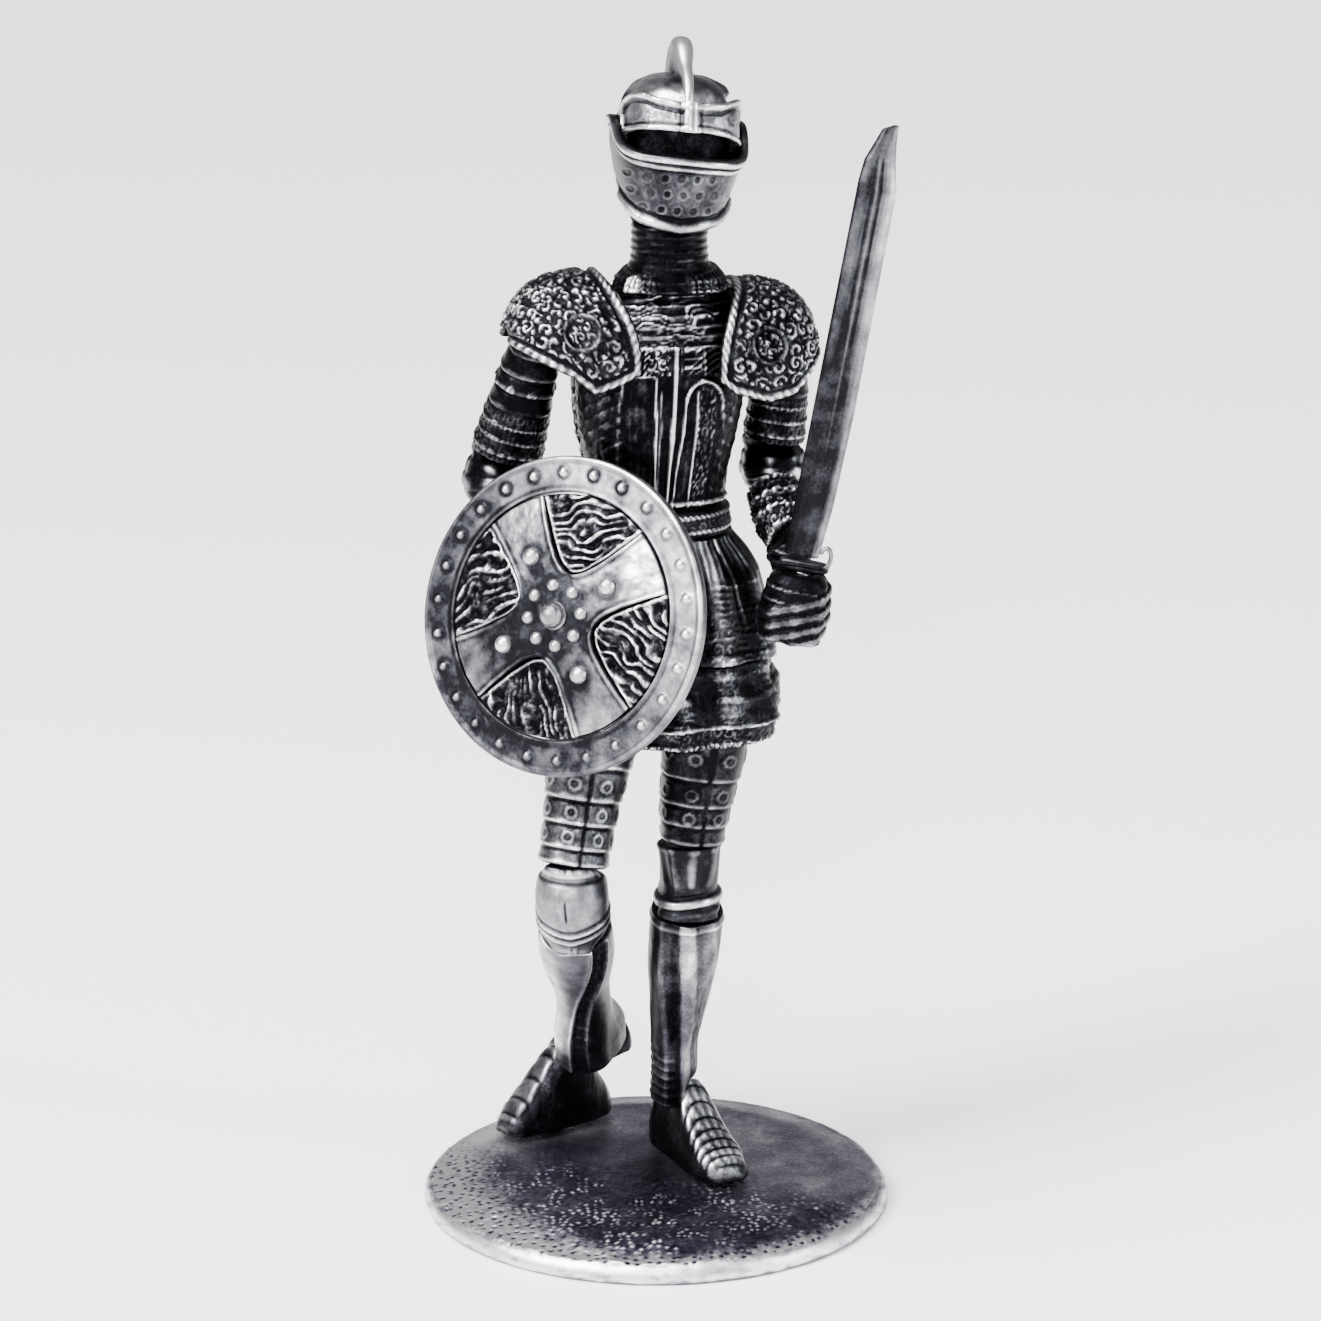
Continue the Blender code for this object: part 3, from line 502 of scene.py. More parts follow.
def round_section(nodes, along, facing=0.0, aim=True, harmonics=9, soften=2.0):
    """Smooth radius by height and angle round the middle line of CAD nodes, as a spectrum for each height."""
    points, faces = node_mesh(*nodes)
    low, high, along = middle_line(points, along, aim)
    front = np.array([math.sin(math.radians(facing)), -math.cos(math.radians(facing)), 0])
    front = unit(front - along * (front @ along))
    aside = np.cross(along, front)
    tree = BVHTree.FromPolygons(points.tolist(), faces.tolist())
    radius = np.full((STATIONS, SPOKES), np.nan)
    for i in range(STATIONS):
        centre = low + (high - low) * (END_SHARE + (1 - 2 * END_SHARE) * i / (STATIONS - 1))
        for j in range(SPOKES):
            turn = 2 * math.pi * j / SPOKES
            ray = front * math.cos(turn) + aside * math.sin(turn)
            hit = tree.ray_cast(Vector(centre + ray * OUTSIDE), Vector(-ray), OUTSIDE)
            if hit[0] is not None:
                radius[i, j] = OUTSIDE - hit[3]
    # A ray that misses takes its value from the rays above and below.
    for j in range(SPOKES):
        column = radius[:, j]
        good = ~np.isnan(column)
        if good.any():
            radius[:, j] = np.interp(np.arange(STATIONS), np.flatnonzero(good), column[good])
    radius = np.where(np.isnan(radius), np.nanmean(radius), radius)
    spectrum = np.fft.rfft(radius, axis=1)
    spectrum[:, harmonics + 1:] = 0
    reach = int(3 * soften)
    weights = np.exp(-0.5 * (np.arange(-reach, reach + 1) / soften) ** 2)
    weights /= weights.sum()
    padded = np.pad(spectrum, ((reach, reach), (0, 0)), mode="edge")
    spectrum = sum(weight * padded[k:k + STATIONS] for k, weight in enumerate(weights))
    return {"low": low, "high": high, "along": along, "front": front, "aside": aside,
            "length": np.linalg.norm(high - low), "spectrum": spectrum}


def tube_points(section, share, angle):
    """Points at shares of the height and angles in degrees, as a grid."""
    place = np.clip((share - END_SHARE) / (1 - 2 * END_SHARE), 0, 1) * (STATIONS - 1)
    rows = np.arange(STATIONS)
    spectrum = np.stack([np.interp(place, rows, column.real) + 1j * np.interp(place, rows, column.imag)
                         for column in section["spectrum"].T], 1)
    turns = np.radians(angle)
    orders = np.arange(spectrum.shape[1])
    weight = np.where(orders == 0, 1.0, 2.0) / SPOKES
    waves = np.exp(1j * orders[:, None] * turns[None, :])
    radius = ((spectrum * weight) @ waves).real
    centre = section["low"] + share[:, None] * (section["high"] - section["low"])
    ray = np.cos(turns)[:, None] * section["front"] + np.sin(turns)[:, None] * section["aside"]
    return centre[:, None, :] + radius[..., None] * ray[None]


def wrapped(name, points, worn, body, slot, replaces=(), look=None):
    """A closed skin: rows of points that run round, with a small face at each end."""
    rows, columns = points.shape[:2]
    faces = quads(rows, columns, True)
    faces.append(list(range(columns))[::-1])
    faces.append([(rows - 1) * columns + j for j in range(columns)])
    obj = mesh_from(name, points.reshape(-1, 3), faces, worn.ravel(), grid_uv(rows, columns))
    finish_piece(obj, body, slot, replaces, look)


# Rings that close an end: mm in, mm out, share of the wear.
END_RINGS = ((0.08, 0.06, 0.9), (0.3, 0.08, 0.5), (0.75, 0.02, 0.2), (1e3, 0.0, 0.0))


def closed_ends(points, worn, middles, along):
    """Adds rings at both ends that turn in and close."""
    rings, shades = [points], [worn]
    for end, way in ((0, -1), (-1, 1)):
        spokes = points[end] - middles[end]
        size = np.linalg.norm(spokes, axis=1, keepdims=True)
        made, tones = [], []
        for inward, outward, tone in END_RINGS:
            keep = np.maximum(0.02, 1 - inward / size)
            made.append(middles[end] + spokes * keep + along * way * outward)
            tones.append(worn[end] * tone)
        if way < 0:
            rings.insert(0, np.array(made[::-1]))
            shades.insert(0, np.array(tones[::-1]))
        else:
            rings.append(np.array(made))
            shades.append(np.array(tones))
    return np.concatenate(rings), np.concatenate(shades)


def tube(node, slot, relief, gain, along=(0, 0, 1), half=None, within=None, pitch=PITCH, look=None,
         facing=0.0, below=0.0, above=0.0, **options):
    """A fine skin round a CAD node of the figure, run on by below and above mm into its neighbours. With half
    set to 1 or -1 it is only the front or the back of the nodes in within, closed flat."""
    section = round_section(within or (node,), along, facing, **options)
    mean = section["spectrum"][:, 0].real.mean() / SPOKES
    rows = max(8, int(section["length"] / pitch))
    arc = 360.0 if half is None else 176.0
    columns = max(24, int(math.radians(arc) * mean / pitch))
    share = np.linspace(-below / section["length"], 1 + above / section["length"], rows)
    if half is None:
        angle = np.linspace(-180, 180, columns, endpoint=False)
    else:
        angle = np.linspace(-arc / 2, arc / 2, columns) + (0 if half > 0 else 180)
    points = tube_points(section, share, angle)
    normal = grid_normals(points, half is None)
    signed = (angle + 180) % 360 - 180
    surface = Surface(points, signed[None, :].repeat(rows, 0), share[:, None].repeat(columns, 1),
                      np.radians(signed)[None, :] * mean * np.ones((rows, 1)), section["length"])
    height, tone = [value * np.ones((rows, columns)) for value in relief(surface)]
    worn = wear_of(height, tone, (pitch, pitch), half is None, gain)
    points = points + normal * height[..., None]
    middles = section["low"] + share[:, None] * (section["high"] - section["low"])
    if half is not None:
        # The flat back: a few columns from one edge to the other.
        fill = np.linspace(0, 1, 12)[1:-1, None]
        back = points[:, -1:, :] + (points[:, :1, :] - points[:, -1:, :]) * fill[None]
        points = np.concatenate([points, back], 1)
        worn = np.concatenate([worn, np.zeros((rows, back.shape[1]))], 1)
        middles = points.mean(1)
    points, worn = closed_ends(points, worn, middles, section["along"])
    wrapped(node + "_cast", points, worn, "figure", slot, (node,), look)


def shell(name, outer, thickness, body, slot, height, tone, replaces, gain, out_way=None):
    """A plate: a grid of points, raised by its relief, with a plain inner side and closed edges."""
    outward = outer - outer.mean((0, 1)) if out_way is None else out_way
    if (grid_normals(outer, False) * outward).sum() < 0:
        outer, height, tone = outer[:, ::-1], height[:, ::-1], tone[:, ::-1]
    rows, columns = outer.shape[:2]
    normal = grid_normals(outer, False)
    inner = outer - normal * thickness
    worn = wear_of(height, tone, (PITCH, PITCH), False, gain)
    raised = outer + normal * height[..., None]
    points = np.concatenate([raised.reshape(-1, 3), inner.reshape(-1, 3)])
    shade = np.concatenate([worn.ravel(), np.full(rows * columns, 0.1)])
    faces = quads(rows, columns, False) + quads(rows, columns, False, rows * columns, True)
    grid = np.arange(rows * columns).reshape(rows, columns)
    border = np.concatenate([grid[0, :-1], grid[:-1, -1], grid[-1, :0:-1], grid[:0:-1, 0]])
    after = np.roll(border, -1)
    step = rows * columns
    faces += np.stack([after, border, border + step, after + step], 1).tolist()
    uv = np.concatenate([grid_uv(rows, columns, 0, 0.5), grid_uv(rows, columns, 0.5, 1.0)])
    finish_piece(mesh_from(name, points, faces, shade, uv), body, slot, replaces)


class Frame:
    """A frame in millimetres: an origin and three unit axes."""

    def __init__(self, origin, x, y, z):
        self.origin = np.array(origin, float)
        self.axes = np.array([x, y, z], float)

    def out(self, local):
        return np.asarray(local) @ self.axes + self.origin

    def into(self, world):
        return (np.asarray(world) - self.origin) @ self.axes.T


def joint(name):
    found = next(j for j in frame["joints"] if j["name"] == name)
    return np.array(found.get("pos_m", (0, 0, 0)), float) / MM, unit(np.array(found["axis"], float))


def upright_frame(origin, x):
    """A frame whose X is given and whose Z is as near upright as it can be."""
    x = unit(np.array(x, float))
    z = unit(np.array([0, 0, 1.0]) - x * x[2])
    return Frame(origin, x, np.cross(z, x), z)


def box_mm(name):
    low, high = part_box(name)
    return np.array(low) / MM, np.array(high) / MM


def neighbours_mean(values, edges, rounds):
    """The values evened out over a mesh's edges."""
    count = np.bincount(edges.ravel(), minlength=len(values)) + 1.0
    for _ in range(rounds):
        total = values.copy()
        np.add.at(total, edges[:, 0], values[edges[:, 1]])
        np.add.at(total, edges[:, 1], values[edges[:, 0]])
        values = total / count
    return values


def carved(node, slot, relief, gain, voxel=0.14, settle=10):
    """A CAD node with an even fine mesh, its facets smoothed and its relief raised along the normals."""
    mesh = frame["nodes"][node].data.copy()
    mesh.transform(Matrix.Scale(1 / MM, 4))
    body_mesh = bmesh.new()
    body_mesh.from_mesh(mesh)
    bmesh.ops.remove_doubles(body_mesh, verts=body_mesh.verts, dist=1e-4)
    body_mesh.to_mesh(mesh)
    body_mesh.free()
    helper = bpy.data.objects.new(node + "_helper", mesh)
    bpy.context.scene.collection.objects.link(helper)
    remesh = helper.modifiers.new("even", "REMESH")
    remesh.mode = "VOXEL"
    remesh.voxel_size = voxel
    settled = helper.modifiers.new("settle", "SMOOTH")
    settled.factor = 0.5
    settled.iterations = settle
    made = bpy.data.meshes.new_from_object(helper.evaluated_get(bpy.context.evaluated_depsgraph_get()))
    bpy.data.objects.remove(helper)
    points = np.empty(len(made.vertices) * 3)
    made.vertices.foreach_get("co", points)
    points = points.reshape(-1, 3)
    normals = np.empty(len(made.vertices) * 3, np.float32)
    made.vertex_normals.foreach_get("vector", normals)
    normals = normals.reshape(-1, 3)
    edges = np.empty(len(made.edges) * 2, np.int32)
    made.edges.foreach_get("vertices", edges)
    edges = edges.reshape(-1, 2)
    height, tone = relief(points, normals)
    height = height * np.ones(len(points))
    worn = np.clip(PLAIN_WEAR + gain * (height - neighbours_mean(height, edges, 9)) + tone, 0, 1)
    faces = [tuple(polygon.vertices) for polygon in made.polygons]
    obj = mesh_from(node + "_cast", points + normals * height[:, None], faces, worn)
    finish_piece(obj, "figure", slot, (node,))


def edge_distances(points):
    """Millimetres from each grid point to the first row, last row, first column and last column."""
    down = np.linalg.norm(np.diff(points, axis=0), axis=2)
    side = np.linalg.norm(np.diff(points, axis=1), axis=2)
    from_first_row = np.concatenate([np.zeros((1, points.shape[1])), np.cumsum(down, 0)])
    from_first_column = np.concatenate([np.zeros((points.shape[0], 1)), np.cumsum(side, 1)], 1)
    return (from_first_row, from_first_row[-1:] - from_first_row,
            from_first_column, from_first_column[:, -1:] - from_first_column)


def ring_skin(name, points, worn, body, slot, replaces):
    """A closed ring: rows round the section and columns round the ring, both joined up."""
    rows, columns = points.shape[:2]
    i, j = np.arange(rows)[:, None], np.arange(columns)[None, :]
    i2, j2 = (i + 1) % rows, (j + 1) % columns
    corners = (i * columns + j, i * columns + j2, i2 * columns + j2, i2 * columns + j)
    faces = np.stack([np.broadcast_to(c, (rows, columns)) for c in corners], -1).reshape(-1, 4).tolist()
    obj = mesh_from(name, points.reshape(-1, 3), faces, worn.ravel(), grid_uv(rows, columns))
    finish_piece(obj, body, slot, replaces)


def lathe(name, profile, origin, axis, body, slot, worn, replaces=()):
    """A turned piece: a profile of (radius, height) about an axis, refined between its corners.
    A profile that ends where it starts makes a ring."""
    around_steps, side_steps = 48, 6
    fine = []
    for (r0, h0), (r1, h1) in zip(profile, profile[1:]):
        for k in range(side_steps):
            fine.append((r0 + (r1 - r0) * k / side_steps, h0 + (h1 - h0) * k / side_steps))
    closed = profile[0] == profile[-1]
    if not closed:
        fine.append(profile[-1])
    fine = np.array(fine)
    fine[:, 0] = np.maximum(fine[:, 0], 0.004)
    axis = unit(np.array(axis, float))
    x = unit(np.cross([0.3, 0.2, 0.93], axis))
    y = np.cross(axis, x)
    around = once_round(around_steps)
    ring = np.cos(around)[:, None] * x + np.sin(around)[:, None] * y
    points = origin + fine[::-1, None, :1] * ring[None] + fine[::-1, None, 1:] * axis
    shade = np.full(points.shape[:2], worn)
    skin = ring_skin if closed else wrapped
    skin(name, points, shade, body, slot, replaces)


def sweep(name, route, radius, body, slot, worn):
    """A round bar along a smooth route, with rounded ends, whose wear changes where its curl starts."""
    sides, step = 20, 0.09
    route = np.array(route)
    lengths = np.concatenate([[0], np.cumsum(np.linalg.norm(np.diff(route, axis=0), axis=1))])
    count = max(8, int(lengths[-1] / step))
    place = np.linspace(0, lengths[-1], count)
    line = np.stack([np.interp(place, lengths, route[:, k]) for k in range(3)], -1)
    for _ in range(12):
        line[1:-1] = (line[:-2] + 2 * line[1:-1] + line[2:]) / 4
    along = unit_rows(np.gradient(line, axis=0))
    aside = unit_rows(np.cross(along, SWORD.axes[1]))
    up = np.cross(aside, along)
    turn = once_round(sides)
    ends = np.minimum(np.arange(count), np.arange(count)[::-1]) * step / radius
    size = radius * np.sqrt(np.clip(1 - (1 - np.minimum(ends, 1)) ** 2, 0.02, 1))
    ring = aside[:, None] * np.cos(turn)[None, :, None] + up[:, None] * np.sin(turn)[None, :, None]
    points = line[:, None] + ring * size[:, None, None]
    shade = worn[0] + (worn[1] - worn[0]) * smooth(0.62, 0.72, place / lengths[-1])
    wrapped(name, points[::-1], shade[::-1, None] * np.ones((1, sides)), body, slot)


# ---------------------------------------------------------------- frames of the moving bodies

visor_place, visor_axis = joint("visor_hinge")
HEAD = upright_frame(visor_place, -visor_axis)

sword_axis = joint("sword_slide")[1]
grip_points = node_mesh("sword_grip")[0]
grip_middle = (grip_points.min(0) + grip_points.max(0)) / 2
grip_top = (grip_points @ sword_axis).max()
sword_x = np.array([sword_axis[2], 0, -sword_axis[0]])
SWORD = Frame(grip_middle + sword_axis * (grip_top + 0.05 - grip_middle @ sword_axis),
              sword_x, np.cross(sword_axis, sword_x), sword_axis)

shield_place, shield_axis = joint("shield_turn")
shield_x = unit(np.cross([0, 0, 1.0], shield_axis))
SHIELD = Frame(shield_place, shield_x, np.cross(shield_axis, shield_x), shield_axis)


# ---------------------------------------------------------------- base

def make_base():
    radius, _, ground = box_mm("base_plate")[1]
    ring_count, spoke_count = 126, 700
    turn = once_round(spoke_count)[None, :]
    # The casting's edge isn't quite round: a flat at the sword side and small dents.
    edge = radius * (1 - 0.006 * bell(turn - 0.25, 0.12) - 0.004 * bell(turn - 5.9, 0.2))
    edge = edge - 0.10 * abs(value_noise(np.cos(turn) * 12, np.sin(turn) * 12, 1.7, 3))
    share = np.concatenate([np.linspace(0.002, 0.3, 24), np.linspace(0.306, 0.962, ring_count - 24)])[:, None]
    reach = share * edge
    x, y = reach * np.cos(turn), reach * np.sin(turn)
    # How far the pale band comes in from the edge: wide in front and to the left, thin elsewhere. The pale is
    # partly rubbed metal at the edge and partly painted light, widest on the lit front and left.
    direction = np.degrees(turn) % 360
    band = np.interp(direction, [0, 40, 90, 135, 180, 210, 235, 260, 300, 330, 360],
                     [1.6, 0.6, 0.6, 3.0, 7.5, 8.5, 6.0, 3.6, 2.6, 2.0, 1.6])
    inward = edge - reach + 0.9 * value_noise(x, y, 2.2, 7) + 0.5 * value_noise(x, y, 0.8, 8)
    pale = smooth(band, band * 0.12, inward)
    # Coarse stippled ground in front; smooth metal behind and to the sword side.
    rough = smooth(4.0, -6.0, y + 0.35 * x)
    spread_x = x + 0.5 * value_noise(x, y, 1.3, 13)
    spread_y = y + 0.5 * value_noise(x, y, 1.1, 15)
    pits = smooth(0.24, 0.05, cells(spread_x, spread_y, 0.8, 5)[0])
    speckled = smooth(-0.35, 0.35, value_noise(x, y, 1.1, 17))
    specks = dome(cells(spread_x, spread_y, 0.62, 9)[0], 0.2) * speckled
    grain = rough_ground(x, y, 1.3, 21)
    height = rough * (0.10 * grain + 0.12 * specks * (1 - pale) - 0.13 * pits * pale) + 0.02 * grain
    slope = smooth(edge, edge - 4.2, reach)
    z = ground - 0.12 - 0.55 * (1 - slope) + height
    top = np.stack([x, y, np.minimum(z, ground + 0.05)], -1)
    relief = height - blurred(height, (2, 3), True)
    clouds_and_foot_shadow = 0.2 * rough_ground(x, y, 4.0, 23)
    # Painted contact shadow in the corners beside the feet.
    for foot_x, foot_y, wide, deep in ((-6.0, 5.0, 4.2, 3.0), (-1.0, 1.0, 2.0, 4.5)):
        clouds_and_foot_shadow = clouds_and_foot_shadow - 0.3 * np.exp(-((x - foot_x) / wide) ** 2 - ((y - foot_y) / deep) ** 2)
    dark = 1 - pale
    # Painted light: the darker ground is made lighter towards the left, the side the light comes from.
    tone = 0.60 + 0.30 * pale - 0.34 * rough * dark + 0.2 * smooth(-4, -15, x) * dark + clouds_and_foot_shadow * dark
    worn = tone + 0.04 + rough * (4.5 * relief + 0.45 * specks * dark * smooth(-2, -9, y) - 0.6 * pits * pale)
    rows, shades = [top], [np.clip(worn, 0, 1)]
    front = smooth(4.0, -10.0, y[-1:])
    # The rounded edge, down to the flat underside: share of the radius, height and tone. The tone darkens
    # down towards the underside as painted shade, and the edge is painted lighter towards the front as
    # painted light.
    for out, level, tone in ((0.968, 1.5, 0.62), (0.976, 1.4, 0.66), (0.984, 1.26, 0.7), (0.991, 1.08, 0.74),
                             (0.996, 0.88, 0.74), (0.999, 0.66, 0.7), (1.0, 0.46, 0.66), (0.998, 0.28, 0.55),
                             (0.990, 0.12, 0.4), (0.975, 0.0, 0.2), (0.9, 0.0, 0.2), (0.002, 0.0, 0.2)):
        ring_x, ring_y = edge * out * np.cos(turn), edge * out * np.sin(turn)
        dents = 0.09 * value_noise(ring_x, ring_y + level * 2, 0.9, 8)
        level_here = np.minimum(level + dents, z[-1:] - 0.02) if level > 1.0 else np.full(turn.shape, level)
        rows.append(np.stack([ring_x, ring_y, level_here], -1))
        mottled = 0.5 * value_noise(ring_x, ring_y + level * 3, 0.7, 4)
        shades.append(np.clip(0.06 + tone * (0.66 + 0.6 * front) + mottled, 0, 1))
    points, worn = np.concatenate(rows), np.concatenate(shades)
    wrapped("base_plate_cast", points[::-1], worn[::-1], "figure", "ground_pewter", ("base_plate",))


# ---------------------------------------------------------------- torso, belt and skirt

TORSO_FACING = 12.0


def arch_line(side, z, middle, half, top, lean=0.0, square=0.0):
    """Distance to a tall arch: two upright sides that meet in a round head, or a squarer one."""
    across = side - middle - lean * (z - top)
    corner = half * (1 - square)
    beyond = np.maximum(abs(across) - (half - corner), 0)
    rise = z - (top - corner)
    return np.where(rise > 0, abs(np.hypot(beyond, rise) - corner), abs(abs(across) - half))


def torso_front(surface):
    side, z = surface.around * 1.12, surface.z
    chest = smooth(67.8, 68.2, z)
    bust = smooth(66.0, 66.3, z) * (1 - chest)
    below = 1 - smooth(66.0, 66.3, z)
    # Rows of close engraving across the top of the chest.
    height = 0.13 * leafy(side, z * 1.15, 0.5, 3, 31) * chest * (0.4 + 0.6 * smooth(6.0, 4.5, abs(side)))
    for level in (68.75, 69.4, 70.1, 70.8):
        height = height + 0.10 * ridge(z - level + 0.08 * value_noise(side, z, 1.0, 39), 0.12)
    height = height + 0.16 * ridge(z - 68.05, 0.13) * smooth(4.2, 3.6, abs(side))
    # Scrolled panels either side of the middle rib.
    height = height + bust * 0.2 * scrollwork(side * 1.2, z, 0.95, 33) * (abs(side + 1.5) < 0.95)
    height = height + bust * 0.14 * ridge((z % 0.62) - 0.31, 0.12) * (abs(side - 1.5) < 0.85)
    height = height + bust * 0.12 * (ridge(abs(side + 1.5) - 1.1, 0.12) + ridge(abs(side - 1.5) - 1.05, 0.12))
    height = height + bust * 0.12 * leafy(side, z, 0.5, 20, 34)
    # The middle rib, and arched flutes that spread a little towards the waist.
    rib = ridge(side + 0.02 * (68 - z), 0.2) * smooth(68.3, 68.0, z)
    lean = 0.03
    arches = 0.0
    wander = 0.12 * value_noise(side, z, 1.6, 40)
    for middle, half, top, spread, square in ((-2.85, 1.25, 66.1, 0.05, 0.75), (2.5, 1.45, 65.6, 0.11, 0.0)):
        half = half + spread * (top - z)
        width = 0.14
        away = arch_line(side + wander, z, middle, half, top, lean * np.sign(-middle), square)
        arches = arches + ridge(away, width) + 0.25 * groove(away - 0.3, 0.16)
    for place in (-1.15, 1.95):
        arches = arches + 0.8 * ridge(side + wander - place, 0.12) * smooth(65.3, 64.7, z)
    ornament = 0.09 * scrollwork(side * 1.6, z * 0.8, 1.0, 35) * (abs(side - 2.8) < 0.8)
    plain = 0.02 * ridge((side % 0.55) - 0.27, 0.14) + 0.09 * rough_ground(side, z * 0.6, 0.9, 36)
    height = height + 0.24 * rib + below * (0.17 * arches + ornament + plain)
    # Slanting lames round the flanks.
    flank = smooth(3.9, 4.4, abs(side)) * (1 - chest)
    part = saw((z + 0.55 * abs(side)) / 0.95)
    height = height * (1 - 0.8 * flank) + flank * (0.08 * part + 0.10 * rough_ground(side * 1.6, z, 0.8, 38))
    hem = ridge(z - 56.4, 0.24)
    height = height + 0.2 * hem
    patina = 0.24 * rough_ground(side, z, 1.4, 42) + 0.3 * (chest + bust) * value_noise(side, z, 1.1, 43)
    tone = -0.38 + 0.2 * rib + 0.28 * chest * (abs(side) < 3.5) + 0.12 * np.clip(arches, 0, 1) * below
    return height, tone + patina + 0.06 * bust - 0.04 * flank + 0.12 * hem


def torso_back(surface):
    z = surface.z
    side = (surface.angle % 360 - 180) / 57.3 * 5.5
    blades = 0.18 * ridge(abs(side) - (1.2 + 0.18 * (z - 57)), 0.22) * smooth(70, 68.5, z)
    spine = 0.24 * ridge(side, 0.2) * smooth(70, 69, z)
    bands = 0.12 * scrollwork(side, z, 1.3, 37)
    lames = np.where(z < 61, 0.2 * saw((z - 56) / 1.25), 0)
    edge = 0.2 * ridge(z - 69.4, 0.2)
    return blades + spine + edge + bands * (z > 61) + lames, -0.24


def make_torso():
    both = ("breastplate", "backplate")
    for node, relief, half in (("breastplate", torso_front, 1), ("backplate", torso_back, -1)):
        tube(node, "blackened_pewter", relief, 7.0, half=half, within=both, facing=TORSO_FACING, harmonics=7,
             aim=False)

    def collar(surface):
        fold = saw(surface.up / 0.58)
        dents = rough_ground(surface.around, surface.z * 3, 1.2, 61)
        height = 0.10 * ridge(fold - 0.3, 0.2) + 0.05 * dents
        flare = smooth(0.5, 0.0, surface.share) ** 1.6 * smooth(15, 70, abs(surface.angle - 8))
        scales = 0.22 * mail(surface.around * 1.5, surface.z * 2.4, 0.62) * smooth(0.0, 0.3, flare)
        scroll = np.hypot(np.radians(surface.angle + 58) * 4.2, surface.over(0.1))
        mark = (scroll < 0.95) * (0.2 * rosette(scroll, 0.8))
        tone = -0.56 + 0.16 * ridge(fold - 0.3, 0.14) * smooth(0.0, 0.4, dents) + 0.5 * (scroll < 0.9)
        return height + 1.1 * flare + mark + scales, tone + 0.06 * smooth(0.1, 0.4, flare)

    tube("gorget", "blackened_pewter", collar, 4.0, aim=False, above=0.8)

    def ropes(surface):
        slope = 0.22 * np.sin(np.radians(surface.angle))
        up = surface.share - 0.5 - slope * 0.3
        height = 0.0
        for place in (-0.3, 0.3):
            height = height + 0.18 * rope(surface.around, (up - place) * surface.length, 0.17)
        height = height + 0.08 * scrollwork(surface.around, surface.z, 0.8, 41) * (abs(up) < 0.16)
        return height, -0.5 + 0.2 * rough_ground(surface.around, surface.z, 1.4, 44)

    tube("belt", "bright_pewter", ropes, 9.0, pitch=0.1, aim=False)


def pleats(surface, count, depth):
    """Deep rounded folds that hang closer together towards the top."""
    drift = 8 * value_noise(surface.angle, surface.angle * 0, 40, 51)
    return depth * np.cos(np.radians(surface.angle + drift) * count)


def cloth_lines(surface):
    """Short level creases that come and go."""
    shown = smooth(0.0, 0.4, value_noise(surface.around, surface.z, 1.3, 52))
    return 0.09 * ridge((surface.z + 0.1 * surface.around) % 0.5 - 0.25, 0.11) * shown


def make_skirt():
    pleat_count, pleat_depth = 11, 0.3

    def upper(surface):
        around, z, share = surface.around, surface.z, surface.share
        folds = pleats(surface, pleat_count, pleat_depth) * (0.35 + 0.65 * smooth(1.0, 0.55, share))
        worked = 0.06 * scrollwork(around * 1.3, z, 1.1, 43) * smooth(0.75, 0.2, share)
        worked = worked + cloth_lines(surface) * smooth(0.75, 0.6, share)
        bands = 0.05 * ridge((z % 1.9) - 0.95, 0.13) * smooth(0.8, 0.6, share)
        lip = 0.2 * ridge(share - 0.03, 0.05)
        pale = bell(surface.angle - 24, 9) * smooth(0.62, 0.85, share)
        from_cord = np.radians(surface.angle - 41 - 12 * (1 - share)) * 7
        cord = ridge(from_cord, 0.22) * smooth(0.2, 0.4, share)
        patches = 0.3 * rough_ground(around, z, 1.5, 45)
        strokes = 0.10 * ridge((around % 0.55) - 0.27, 0.12) * smooth(0.5, 0.8, share)
        height = folds + worked + bands + lip + strokes + 0.18 * cord
        return height, -0.36 + patches + 0.4 * pale + 0.3 * cord + 0.5 * folds

    def lower(surface):
        around, z, share = surface.around, surface.z, surface.share
        folds = pleats(surface, pleat_count, pleat_depth) * (0.55 + 0.45 * smooth(0.2, 0.5, share))
        hem = smooth(0.27, 0.24, share)
        band = 0.15 * scrollwork(around * 1.2, z, 1.0, 47)
        edges = 0.2 * (ridge(share - 0.26, 0.03) + ridge(share - 0.03, 0.04))
        ruffle = 0.08 * ridge(share - 0.6, 0.05) + 0.08 * ridge(share - 0.9, 0.06)
        worked = (0.05 * scrollwork(around * 1.3, z, 0.95, 49) + cloth_lines(surface)) * (1 - hem)
        height = folds * (1 - 0.6 * hem) + band * hem + edges + ruffle + worked
        return height, -0.42 + 0.32 * rough_ground(around, z, 1.5, 46) + 0.5 * folds

    tube("skirt_upper", "aged_pewter", upper, 5.0, facing=8, harmonics=6, aim=False)
    tube("skirt_lower", "aged_pewter", lower, 5.0, facing=8, harmonics=6, soften=1.2, aim=False)


# ---------------------------------------------------------------- shoulders

